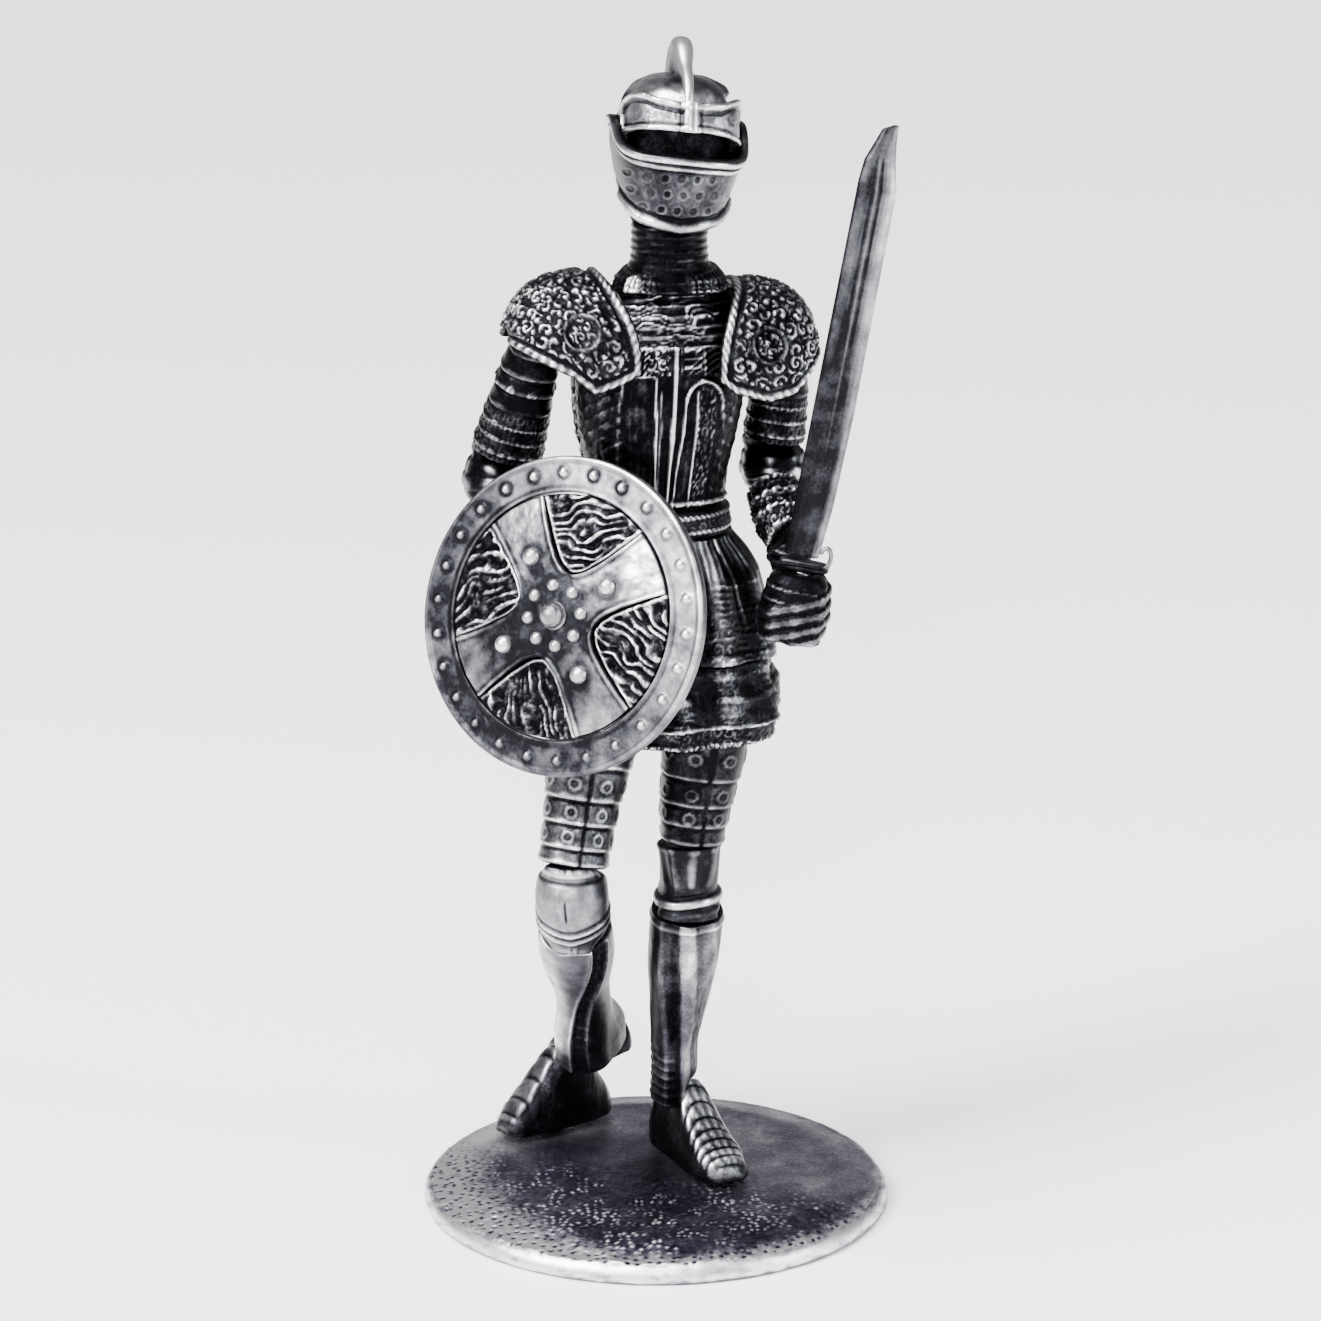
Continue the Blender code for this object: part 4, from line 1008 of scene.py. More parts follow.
def pauldron_grid(side, hem, rows, columns):
    """The shoulder's dome as the CAD has it, in the torso's own frame and then the world's."""
    inner_edge, outer_edge, axis_y, axis_z, radius = hem[0][0], 11.5, 0.2, 66.8, 5.7
    share = 1 - (1 - np.linspace(0, 0.985, rows)) ** 1.6
    share = share[:, None]
    around = np.linspace(0, 1, columns)[None, :]
    reach = inner_edge + (outer_edge - inner_edge) * share
    fall = np.maximum(0.0, 1 - ((reach - inner_edge) / (outer_edge + 0.25 - inner_edge)) ** 3)
    bulge = radius * fall ** 0.45
    hem_place = np.array(hem)
    level = np.interp(reach, hem_place[:, 0], hem_place[:, 1])
    front = np.arcsin(np.clip((level - axis_z) / bulge, -0.95, 0.95))
    angle = front + (math.pi - 2 * front) * around
    lifted = inner_edge + 2.0 * np.maximum(0.0, np.sin(angle)) ** 2
    x = lifted + (outer_edge - lifted) * share
    points = np.stack([side * x, axis_y - bulge * 1.05 * np.cos(angle), axis_z + bulge * np.sin(angle)], -1)
    turn = math.radians(TORSO_FACING)
    c, s = math.cos(turn), math.sin(turn)
    turned = np.stack([points[..., 0] * c - points[..., 1] * s, points[..., 0] * s + points[..., 1] * c,
                       points[..., 2]], -1)
    return turned


def make_neck_peg():
    """The head's peg, which only shows through the slit between the collar and the helmet."""
    low, high = box_mm("neck_peg")
    radius, tall = (high[0] - low[0]) / 2, high[2] - low[2]
    round_off = 0.1
    peg = [(0.0, tall), (radius - round_off, tall), (radius, tall - round_off), (radius, round_off),
           (radius - round_off, 0.0), (0.0, 0.0)]
    foot = np.array([(low[0] + high[0]) / 2, (low[1] + high[1]) / 2, low[2]])
    lathe("neck_peg_cast", peg, foot, [0, 0, 1], "figure", "aged_pewter", 0.2, ("neck_peg",))


def make_shoulders():
    # Side, how dark it is, where its round motif lies (mm from the inner and the front edge), and its hem.
    right_hem = [(2.6, 65.8), (4.2, 64.9), (5.8, 64.3), (7.4, 65.6), (9.5, 66.6), (11.5, 67.6)]
    left_hem = [(3.2, 66.0), (4.4, 65.0), (7.0, 64.2), (9.0, 64.6), (10.2, 65.6), (11.5, 67.0)]
    for node, side, darker, heart, hem in (("pauldron_right", -1, 0.10, (3.9, 4.1), right_hem),
                                           ("pauldron_left", 1, 0.0, (3.6, 4.4), left_hem)):
        outer = pauldron_grid(side, hem, 96, 150)
        low, high = box_mm(node)
        outer = outer + ((low + high) / 2 - (outer.min((0, 1)) + outer.max((0, 1))) / 2)
        first, _, front, back = edge_distances(outer)
        edge = np.minimum(np.minimum(first, front), back)
        along = np.where(first < np.minimum(front, back), front, first)
        border = 0.22 * rope(along, edge - 0.36, 0.28) - 0.1 * ridge(edge - 0.82, 0.14)
        field = smooth(0.95, 1.2, edge)
        worked = 0.18 * scrollwork_on(outer, 1.05, 71 + side)
        height = border + field * (worked + 0.2 * value_noise(first * 2, front * 2, 1.3, 75))
        height = height + 0.05 * rough_ground(first * 1.4, front * 1.4, 1.0, 76)
        # A round motif in front, over the chest.
        from_heart = np.hypot(first - heart[0], front - heart[1])
        middle = outer[np.unravel_index(np.argmin(from_heart), first.shape)]
        disc = np.linalg.norm(outer - middle, axis=2)
        inside = disc < 1.5
        motif = 0.12 * ridge(disc - 1.3, 0.14)
        motif = motif + 0.2 * scrollwork_on(outer, 0.8, 78) * smooth(1.05, 0.95, disc)
        motif = motif + 0.10 * value_noise(first * 3, front * 3, 0.8, 77) - 0.08 * smooth(1.3, 1.0, disc)
        height = np.where(inside, motif, height)
        # Painted highlight: each dome is lighter towards its top and its outer side.
        crown = smooth(0.0, 1.0, (outer[..., 2] - 68) / 4.5)
        outward = smooth(4.0, 8.0, first)
        tone = -0.34 + 0.14 * crown + 0.36 * outward * (0.4 + 0.6 * crown) + 0.16 * (edge < 0.7)
        tone = tone - 0.12 * bell(disc - 1.45, 0.3) - darker + 0.2 * rough_ground(first, front, 2.2, 79)
        shell(node + "_cast", outer, 0.45, "figure", "aged_pewter", height, tone, (node,), gain=5.2)


# ---------------------------------------------------------------- arms and hands

def lame_steps(surface, edges, depth):
    """Overlapping bands between shares of the height. Each swells to its lower edge, which has a bead."""
    height = np.zeros(surface.share.shape)
    for low, high in zip(edges, edges[1:]):
        inside = (surface.share >= low) & (surface.share < high)
        place = (surface.share - low) / (high - low)
        height = np.where(inside, depth * np.clip(1 - place, 0, 1) ** 1.3, height)
    for level in edges:
        height = height + 0.07 * ridge(surface.over(level) - 0.22, 0.15)
        height = height + 0.16 * groove(surface.over(level) + 0.06, 0.1)
    return height


def upper_arm(surface):
    height = lame_steps(surface, (0.40, 0.55, 0.68, 0.84, 1.0), 0.12)
    height = height * (0.55 + 0.6 * smooth(-0.2, 0.3, value_noise(surface.around, surface.up, 2.0, 85)))
    lower = smooth(0.42, 0.38, surface.share)
    links = 0.10 * mail(surface.around, surface.up, 0.66)
    hoops = 0.12 * ridge((surface.up % 1.1) - 0.55, 0.13)
    dents = 0.06 * rough_ground(surface.around, surface.up * 1.6, 1.1, 83)
    height = height + lower * (links + hoops) + dents
    bead = 0.12 * rosette(np.hypot((surface.around + 9.1) % 1.5 - 0.75, surface.over(0.58)), 0.3)
    smudge = 0.2 * surface.rough(1.5, 84)
    return height + bead * (abs(surface.share - 0.58) < 0.05), -0.48 + smudge + 0.16 * lower


def elbow(surface):
    roll = 0.26 * ridge(surface.over(0.5), 0.55)
    ends = 0.2 * (ridge(surface.share - 0.08, 0.07) + ridge(surface.share - 0.92, 0.07))
    flutes = 0.06 * np.cos(surface.around * 5.2) * smooth(0.42, 0.25, abs(surface.share - 0.5))
    cut = 0.14 * (groove(surface.share - 0.2, 0.035) + groove(surface.share - 0.8, 0.035))
    return roll * 0.7 + ends + flutes + cut, -0.5 + 0.3 * surface.rough(1.2, 86)


def cuff(surface):
    bands = 0.17 * scrollwork(surface.around, surface.up, 0.95, 81)
    lines = 0.2 * sum(ridge(surface.share - level, 0.05) for level in (0.05, 0.36, 0.66, 0.95))
    return bands + lines, -0.56


def make_arms():
    for side in ("left", "right"):
        tube("rerebrace_" + side, "blackened_pewter", upper_arm, 5.0, soften=4.0)
        tube("elbow_cop_" + side, "bright_pewter", elbow, 9.0, soften=3.0, aim=False, look="blackened_pewter")
    tube("vambrace_left", "aged_pewter", cuff, 9.0, along=(-0.2, 0.8, 0.5), soften=3.0, aim=False)
    tube("vambrace_right", "blackened_pewter", cuff, 9.0, along=(-0.5, 0.65, 0.55), soften=3.0, aim=False)

    def fist(points, normals):
        x, y, z = SWORD.into(points).T
        turn = np.degrees(np.arctan2(x, -y))
        # Four fingers wrapped round the grip, one above the other, with bright joints.
        finger = (z + 5.2 + 0.016 * (40 - turn)) / 1.02
        part = saw(finger)
        front = smooth(-62, -45, turn) * smooth(125, 105, turn) * (finger > 0) * (finger < 4)
        bands = 0.30 * ridge(2 * part - 1, 1)
        knuckles = 0.07 * np.cos(np.radians(turn) * 9)
        height = front * (bands + knuckles - 0.1)
        back = 1 - front
        plates = saw((z + 0.2) / 0.95)
        height = height + back * 0.16 * plates * (z > -5.2) - 0.5 * smooth(-4.9, -5.6, z)
        return height, -0.52 + 0.34 * front * (bands > 0.27) + 0.24 * value_noise(x * 2, z * 2, 0.9, 89)

    carved("gauntlet_left", "aged_pewter", fist, 6.0, voxel=0.11)

    def plain_fist(points, normals):
        part = saw((SHIELD.into(points)[:, 1] + 10) / 0.9)
        return 0.16 * ridge(2 * part - 1, 1), -0.1

    carved("gauntlet_right", "blackened_pewter", plain_fist, 4.5)


# ---------------------------------------------------------------- legs and feet

def thigh(levels, turn, seam_tone, swell, tuck):
    """Overlapping lames with ring rosettes between their edges, and a dark seam down the front."""
    def relief(surface):
        height = lame_steps(surface, (0.0,) + levels + (1.0,), 0.08)
        tone = seam_tone * np.ones(surface.share.shape)
        for low, high in zip(levels, levels[1:]):
            middle = (low + high) / 2
            radius = min(0.5, (high - low) * surface.length * 0.3)
            turns = (surface.angle - turn + 22.5) % 45 - 22.5
            away = np.hypot(np.radians(turns) * 3.0, surface.over(middle))
            height = height + 0.075 * ridge(away - radius * 0.8, radius * 0.28)
            height = height + 0.06 * dome(away, radius * 0.3)
            tone = tone - 0.14 * smooth(0.7, 0.5, away / radius) - 0.08 * (abs(away - radius * 1.35) < 0.14)
        seam = bell(np.radians(surface.angle - turn - 22) * 3.0, 0.16)
        height = height - 0.12 * seam
        height = height + 0.05 * surface.rough(1.6, 91)
        # Fuller towards the hip, and drawn in behind, where the skirt covers it.
        height = height + swell * smooth(0.3, 0.72, surface.share)
        height = height - tuck * smooth(0.66, 0.8, surface.share) * smooth(50, 100, abs(surface.angle))
        tone = tone + 0.18 * surface.rough(1.9, 92)
        return height, tone - 0.3 * seam
    return relief


def knee_straight(surface):
    """A fluted cop with a thin double ring at its foot."""
    tilt = 0.03 * np.sin(np.radians(surface.angle))
    place = (surface.share - tilt) * surface.length
    ring = 0.2 * ridge(place - 1.35, 0.36) + 0.08 * ridge(place - 0.45, 0.26)
    step = 0.22 * groove(place - 1.95, 0.14) + 0.16 * groove(place - 0.85, 0.12)
    top = 0.1 * ridge(surface.over(0.96), 0.22)
    front = smooth(75, 30, abs(surface.angle))
    flute = np.cos(np.radians(surface.angle - 8) * 9)
    above = smooth(0.42, 0.5, surface.share)
    body = 0.1 * flute * above * (0.4 + 0.6 * front)
    # Painted highlight: a bright strip down the front of the cop. Its sides, away from the front, are painted
    # darker as shade.
    painted_shine = smooth(26, 8, abs(surface.angle + 6)) * smooth(0.98, 0.7, surface.share) * above
    tone = -0.52 + 0.46 * ridge(place - 1.35, 0.4) + 0.34 * painted_shine + 0.14 * above * flute - 0.12 * (1 - front)
    tone = tone + 0.2 * surface.rough(1.5, 94)
    return ring + step + top + body, tone


def knee_bent(surface):
    """A smooth pale cop with a short groove and a double lower edge that hangs down in front."""
    hang = 0.75 * np.cos(np.radians(surface.angle + 8))
    place = surface.share * surface.length + hang
    edges = 0.12 * ridge(place - 1.75, 0.2) + 0.10 * ridge(place - 2.5, 0.18)
    cuts = 0.12 * (groove(place - 2.1, 0.12) + groove(place - 2.85, 0.12))
    slot = 0.26 * groove(np.radians(surface.angle + 14) * 2.9, 0.13)
    slot = slot * smooth(0.4, 0.46, surface.share) * smooth(0.72, 0.62, surface.share)
    ring = 0.12 * ridge(surface.over(0.95), 0.26)
    cut = 0.12 * groove(surface.over(0.86), 0.12)
    # Painted shade: the cop darkens towards its sides, most towards the side from 45 to 100 degrees.
    tone = 0.06 - 0.4 * smooth(45, 100, surface.angle) - 0.2 * smooth(80, 130, -surface.angle)
    return edges + cuts + slot + ring + cut, tone


def shin_straight(surface):
    """A greave with a keel down the front that is rubbed bright and given a painted highlight, mottled dark
    flanks and a narrow ankle.
    """
    keel_turn = 14 - 22 * (surface.share - 0.4)
    off = np.radians(surface.angle - keel_turn) * 2.3
    keel = 0.14 * ridge(off, 0.5)
    hollow = 0.07 * (groove(off - 0.9, 0.35) + groove(off + 0.9, 0.4))
    top = 0.12 * ridge(surface.over(0.97), 0.2)
    plate = 0.07 * ridge(off - 1.75, 0.22) + 0.07 * ridge(off + 1.7, 0.25)
    dents = 0.08 * rough_ground(surface.around * 1.3, surface.up * 0.6, 1.5, 93)
    notches = 0.08 * ridge((surface.up % 0.8) - 0.4, 0.14)
    notches = notches * smooth(0.7, 1.1, -off) * smooth(0.3, 0.1, surface.share)
    patches = rough_ground(surface.around, surface.up * 0.35, 1.3, 95)
    right = smooth(0.5, 1.0, off) * smooth(2.4, 1.8, off)
    left = smooth(0.3, 0.8, -off)
    # The keel is rubbed bright by its relief, and its tone adds a painted highlight down the front.
    tone = -0.1 + 0.24 * ridge(off, 0.5) + 0.14 * right - 0.16 * left - 0.12 * smooth(1.6, 2.4, -off)
    tone = tone + 0.3 * patches - 0.16 * smooth(0.2, 0.0, surface.share)
    return keel + hollow + top + plate + dents + notches, tone


def shin_bent(surface):
    """The stepping leg's greave: a pale front strip that narrows, a dark channel and a calf plate."""
    off = np.radians(surface.angle) * 2.5 + 0.55
    half = -0.55 + 2.2 * smooth(0.05, 1.0, surface.share)
    strip = smooth(half + 0.14, half - 0.14, off) * smooth(-3.0, -2.4, off)
    channel = smooth(half, half + 0.2, off) * smooth(half + 1.5, half + 1.2, off)
    notches = 0.16 * mail(surface.around, surface.up, 0.66) * channel * smooth(0.4, 0.5, surface.share)
    calf = smooth(half + 1.2, half + 1.5, off) * smooth(4.6, 4.2, off)
    low_down = smooth(0.75, 0.35, surface.share)
    edges = 0.12 * ridge(off - half, 0.16) + 0.1 * ridge(off - half - 1.35, 0.18)
    bands = 0.12 * sum(ridge(surface.over(level), 0.18) for level in (0.08, 0.16, 0.24)) * channel
    # The calf runs out backwards into the raised heel.
    off_heel = distance_round(surface.angle, 132)
    heel = 1.25 * smooth(0.22, 0.0, surface.share) * smooth(75, 8, off_heel)
    height = 0.12 * strip - 0.24 * channel + notches + 0.08 * calf + edges + bands + heel
    tone = 0.2 * strip - 0.42 * channel - (0.10 + 0.38 * low_down) * calf - 0.8 * heel
    tone = tone + 0.18 * surface.rough(1.4, 98) - 0.3 * smooth(0.06, -0.04, surface.share)
    return height + 0.04 * rough_ground(surface.around, surface.up * 0.5, 1.6, 97), tone


def shoe(heel, heading, first, last, lame_length, instep, dark_side, dark_from, studded):
    """Ridged lames across a foot from first to last mm in front of the heel, a sole darkened as painted
    shade, one dark side.
    """
    turn = math.radians(heading)
    forward = np.array([math.sin(turn), -math.cos(turn), 0])
    aside = np.array([-forward[1], forward[0], 0])

    def relief(points, normals):
        along = (points - (*heel, 0)) @ forward
        across = (points - (*heel, 0)) @ aside
        z = points[:, 2]
        part = saw((along + 0.07 * across ** 2 + (z - 5) * instep) / lame_length)
        on_top = smooth(3.2, 4.2, z) * smooth(first - 0.3, first + 0.3, along)
        on_top = on_top * smooth(last, last - 0.3, along) * smooth(-0.1, 0.25, normals[:, 2] + 0.25)
        shade = smooth(dark_from, dark_from + 0.4, (normals @ aside) * dark_side)
        on_top = on_top * (1 - 0.85 * shade)
        ladder = 0.5 + 0.5 * np.cos(2 * math.pi * (across / 0.62))
        round_lame = ridge(2 * part - 1, 1)
        height = on_top * (0.3 * round_lame * (0.45 + 0.55 * (1 - part)) + studded * ladder * round_lame)
        height = height + 0.05 * value_noise(along * 1.2, across * 1.2 + z, 0.9, 161)
        patches = 0.3 * value_noise(along, across + z, 1.1, 163)
        # Painted shade: faces that turn downwards are darker, and the whole foot darkens low down next to the
        # base.
        underside = smooth(0.2, 0.8, -normals[:, 2])
        tone = -0.04 - 0.25 * underside + 0.12 * on_top * round_lame - 0.55 * shade + patches
        return height, tone - 0.3 * smooth(3.4, 2.6, z)
    return relief


def make_legs():
    thigh_left = thigh((0.103, 0.222, 0.379, 0.647), turn=-5, seam_tone=-0.36, swell=0.15, tuck=0.0)
    thigh_right = thigh((0.08, 0.205, 0.33, 0.50, 0.70), turn=-14, seam_tone=-0.08, swell=0.42, tuck=2.2)
    tube("cuisse_left", "aged_pewter", thigh_left, 5.0, soften=5.0, harmonics=5)
    tube("cuisse_right", "aged_pewter", thigh_right, 5.0, soften=5.0, harmonics=5)
    tube("knee_cop_left", "bright_pewter", knee_straight, 3.5, soften=2.5, aim=False)
    tube("knee_cop_right", "bright_pewter", knee_bent, 4.0, along=(0, -0.1, 1), soften=2.5, harmonics=6,
         aim=False)
    tube("greave_left", "aged_pewter", shin_straight, 3.0, along=(0.05, -0.2, 1), soften=1.8, harmonics=7,
         below=1.3)
    tube("greave_right", "bright_pewter", shin_bent, 4.0, along=(0, -0.65, 0.76), soften=1.8, harmonics=7,
         below=2.2)
    shoe_left = shoe((0.55, 6.0), heading=28.0, first=3.8, last=11.3, lame_length=0.5, instep=0.6,
                     dark_side=-1, dark_from=0.55, studded=0.07)
    shoe_right = shoe((-2.55, 13.6), heading=-53.0, first=4.2, last=11.9, lame_length=0.6, instep=0.5,
                      dark_side=1, dark_from=0.1, studded=0.0)
    carved("sabaton_left", "aged_pewter", shoe_left, 6.0, settle=22)
    carved("sabaton_right", "aged_pewter", shoe_right, 7.0, settle=18)


# ---------------------------------------------------------------- helmet

def between(table, value, column=1):
    """A column of a table, by the table's first column."""
    return np.interp(value, [row[0] for row in table], [row[column] for row in table])


def squared(angle, wide, deep, power):
    """A point's distances to the side and forward on a squared-off oval, by its angle from the front."""
    across, forward = np.sin(np.radians(angle)), np.cos(np.radians(angle))
    size = (abs(across / wide) ** power + abs(forward / deep) ** power) ** (-1 / power)
    return across * size, -forward * size


def make_skull():
    # Height, half width and depth from the middle, in front, where the visor lies on it, and behind.
    front = ((-5.8, 2.7, 2.95), (-3.0, 3.6, 3.6), (-1.3, 3.7, 3.4), (1.4, 3.7, 3.5), (2.0, 3.5, 4.25),
             (3.2, 3.0, 3.4), (3.8, 2.1, 2.3), (4.1, 0.85, 1.0))
    back = ((-5.8, 2.7, 2.95), (-3.0, 4.0, 4.6), (-1.3, 4.35, 5.1), (1.4, 4.3, 5.1), (2.0, 4.15, 4.9),
            (3.2, 3.4, 4.0), (3.8, 2.3, 2.8), (4.1, 0.85, 1.0))
    rows, columns = 84, 220
    straight_rows = 56
    crown = 2.4 + 1.95 * np.sin(np.linspace(0.06, 1.5, rows - straight_rows))
    rise = np.concatenate([np.linspace(-5.8, 2.4, straight_rows), crown])
    rise = rise[:, None] * np.ones((1, columns))
    angle = np.linspace(-180, 180, columns, endpoint=False)[None, :] * np.ones((rows, 1))
    at_back = smooth(113, 121, abs(angle)) * smooth(3.9, 3.0, rise)
    at_back = at_back + smooth(3.0, 3.9, rise) * smooth(60, 140, abs(angle))

    def pick(index):
        fore, aft = between(front, rise, index), between(back, rise, index)
        return fore + (aft - fore) * at_back

    cap = np.sqrt(np.clip(1 - ((rise - 1.6) / 2.78) ** 2, 0.002, 1))
    wide = np.where(rise > 1.6, np.minimum(pick(1), 4.25 * cap + 0.05), pick(1))
    deep = np.where(rise > 1.6, np.minimum(pick(2) + 0.25, (4.35 + 0.7 * at_back) * cap + 0.05), pick(2))
    x, y = squared(angle, blurred(wide, (1, 2), True), blurred(deep, (1, 2), True), 2.4)
    x = np.where(x > 0, x * (1 + 0.18 * smooth(2.0, 2.8, rise) * smooth(0.6, 1.8, y)), x)
    points = np.stack([x, y, rise], -1)
    height = 0.06 * rough_ground(x * 1.2, y + rise, 1.6, 101)
    facets = 0.4 * rough_ground(x * 0.9, rise + 0.4 * y, 1.3, 103)
    on_top = smooth(1.9, 2.6, rise)
    # Painted light: the crown is lighter on top and towards one side, and darker towards the other.
    tone = -0.4 + on_top * (0.50 + facets + 0.2 * smooth(-0.6, -2.4, x) - 0.14 * smooth(1.6, 3.2, x))
    worn = wear_of(height, tone, (PITCH, PITCH), True, 4.0)
    points = points + grid_normals(points, True) * height[..., None]
    wrapped("helmet_skull_cast", HEAD.out(points), worn, "figure", "blackened_pewter", ("helmet_skull",),
            look="aged_pewter")

    # The comb: a bright bar over the crown, high above the forehead and low down the back.
    # Degrees from the front, distance from the middle, half width.
    route = [(18, 5.0, 0.30), (30, 5.35, 0.36), (44, 5.35, 0.40), (58, 5.35, 0.44), (68, 5.4, 0.5),
             (75, 5.8, 0.62), (83, 6.35, 0.74), (92, 6.6, 0.78), (106, 6.55, 0.74), (122, 6.15, 0.62),
             (140, 5.65, 0.5), (156, 5.2, 0.42)]
    turn = np.linspace(route[0][0], route[-1][0], 130)
    reach, half = [blurred(between(route, turn, column)[:, None], (5, 1), False)[:, 0] for column in (1, 2)]
    around = once_round(40)[None, :]
    across = np.sign(np.cos(around)) * abs(np.cos(around)) ** 0.8 * half[:, None]
    foot = 2.9
    lift = np.where(np.sin(around) > 0, reach[:, None] - half[:, None] + np.sin(around) * half[:, None],
                    reach[:, None] - half[:, None] + np.sin(around) * (reach[:, None] - half[:, None] - foot))
    across = across * (1 + 0.9 * smooth(0.3, 1.0, -np.sin(around)))
    back, up = -np.cos(np.radians(turn))[:, None], np.sin(np.radians(turn))[:, None]
    bar = np.stack([across, 0.2 + lift * back, 0.2 + lift * up], -1)
    shade = np.clip(0.25 + 0.75 * smooth(-0.25, 0.45, np.sin(around)) * np.ones(bar.shape[:2]), 0, 1)
    shade = shade * (1 - 0.35 * smooth(100, 150, turn)[:, None])
    wrapped("helmet_comb", HEAD.out(bar), shade, "figure", "bright_pewter")


def make_bevor():
    widths = [(-6.8, 3.25), (-5.4, 3.7), (-3.0, 4.35), (-1.1, 4.75), (0.6, 4.8), (1.9, 4.8)]
    depths = [(-6.8, 4.1), (-5.4, 5.0), (-3.0, 5.8), (-1.1, 6.3), (0.6, 6.35), (1.9, 6.3)]
    powers = [(-6.8, 2.2), (-3.0, 2.4), (-1.1, 2.8), (0.6, 3.0), (1.9, 3.0)]
    rim = [(-105, 0.8), (-92, 1.0), (-80, 0.8), (-68, 0.1), (-55, -0.6), (-35, -1.0), (0, -1.15), (35, -1.4),
           (55, -1.3), (68, -0.7), (80, 0.3), (92, 0.8), (118, 0.8)]
    hem = [(0, -6.8), (40, -6.3), (70, -5.4), (105, -4.4)]
    rows, columns = 74, 190
    angle = np.linspace(-105, 118, columns)[None, :] * np.ones((rows, 1))
    share = np.linspace(0, 1, rows)[:, None]
    low, high = between(hem, abs(angle)), blurred(between(rim, angle), (1, 5), False)
    rise = low + (high - low) * share
    x, y = squared(angle, between(widths, rise), between(depths, rise), between(powers, rise))
    x = x * (1 - 0.07 * smooth(103, 118, angle))
    outer = np.stack([x, y, rise], -1)
    under_rim, over_hem = high - rise, rise - low
    height = 0.30 * ridge(under_rim - 0.26, 0.30) + 0.16 * ridge(under_rim - 0.82, 0.20)
    height = height + 0.12 * groove(under_rim - 0.58, 0.08)
    height = height + 0.34 * ridge(over_hem - 0.32, 0.36) * smooth(0, 10, 80 - abs(angle) + 10)
    beads = rope(x + y, over_hem - 0.35, 0.32) * smooth(42, 55, angle)
    height = height + 0.1 * beads - 0.14 * bell(over_hem - 0.9, 0.16)
    field = (under_rim > 1.1) & (over_hem > 1.0)
    for row, level in enumerate((-2.7, -3.9, -5.1)):
        shift = 0.3 * (row % 2)
        for place in (-3.9, -2.75, -1.6, -0.45, 0.7, 1.85, 3.0):
            away = np.hypot((x - place - shift) * 1.05, rise - level) / 0.9
            away = np.where(y < 0, away, 9.0)
            own = hashed(np.array(row), np.array(int(place * 100)), 5)
            away = away * (0.9 + 0.3 * own)
            low_side = 0.5 + 0.5 * smooth(-0.3, 0.3, (x - place) - (rise - level))
            away = away + 0.12 * value_noise(x * 2, rise * 2, 0.9, 115)
            dimple = ridge(away - 0.42, 0.15) * 0.04 * low_side
            dimple = dimple - 0.06 * dome(away, 0.36) + 0.03 * dome(away, 0.15)
            height = height + dimple * field * (0.5 + 0.7 * own) * smooth(3.6, 1.6, x + 0.7 * (rise + 3))
    height = height + 0.03 * rough_ground(x, rise, 1.2, 111)
    tone = -0.12 + 0.24 * (under_rim < 1.05) + 0.25 * (over_hem < 0.75)
    tone = tone + 0.18 * smooth(0.5, 3.5, x + 0.7 * (rise + 3))
    tone = tone - 0.1 + 0.22 * rough_ground(x, rise, 2.0, 113)
    shell("bevor_cast", HEAD.out(outer), 0.4, "figure", "aged_pewter", height, tone, ("bevor",), gain=4.2)


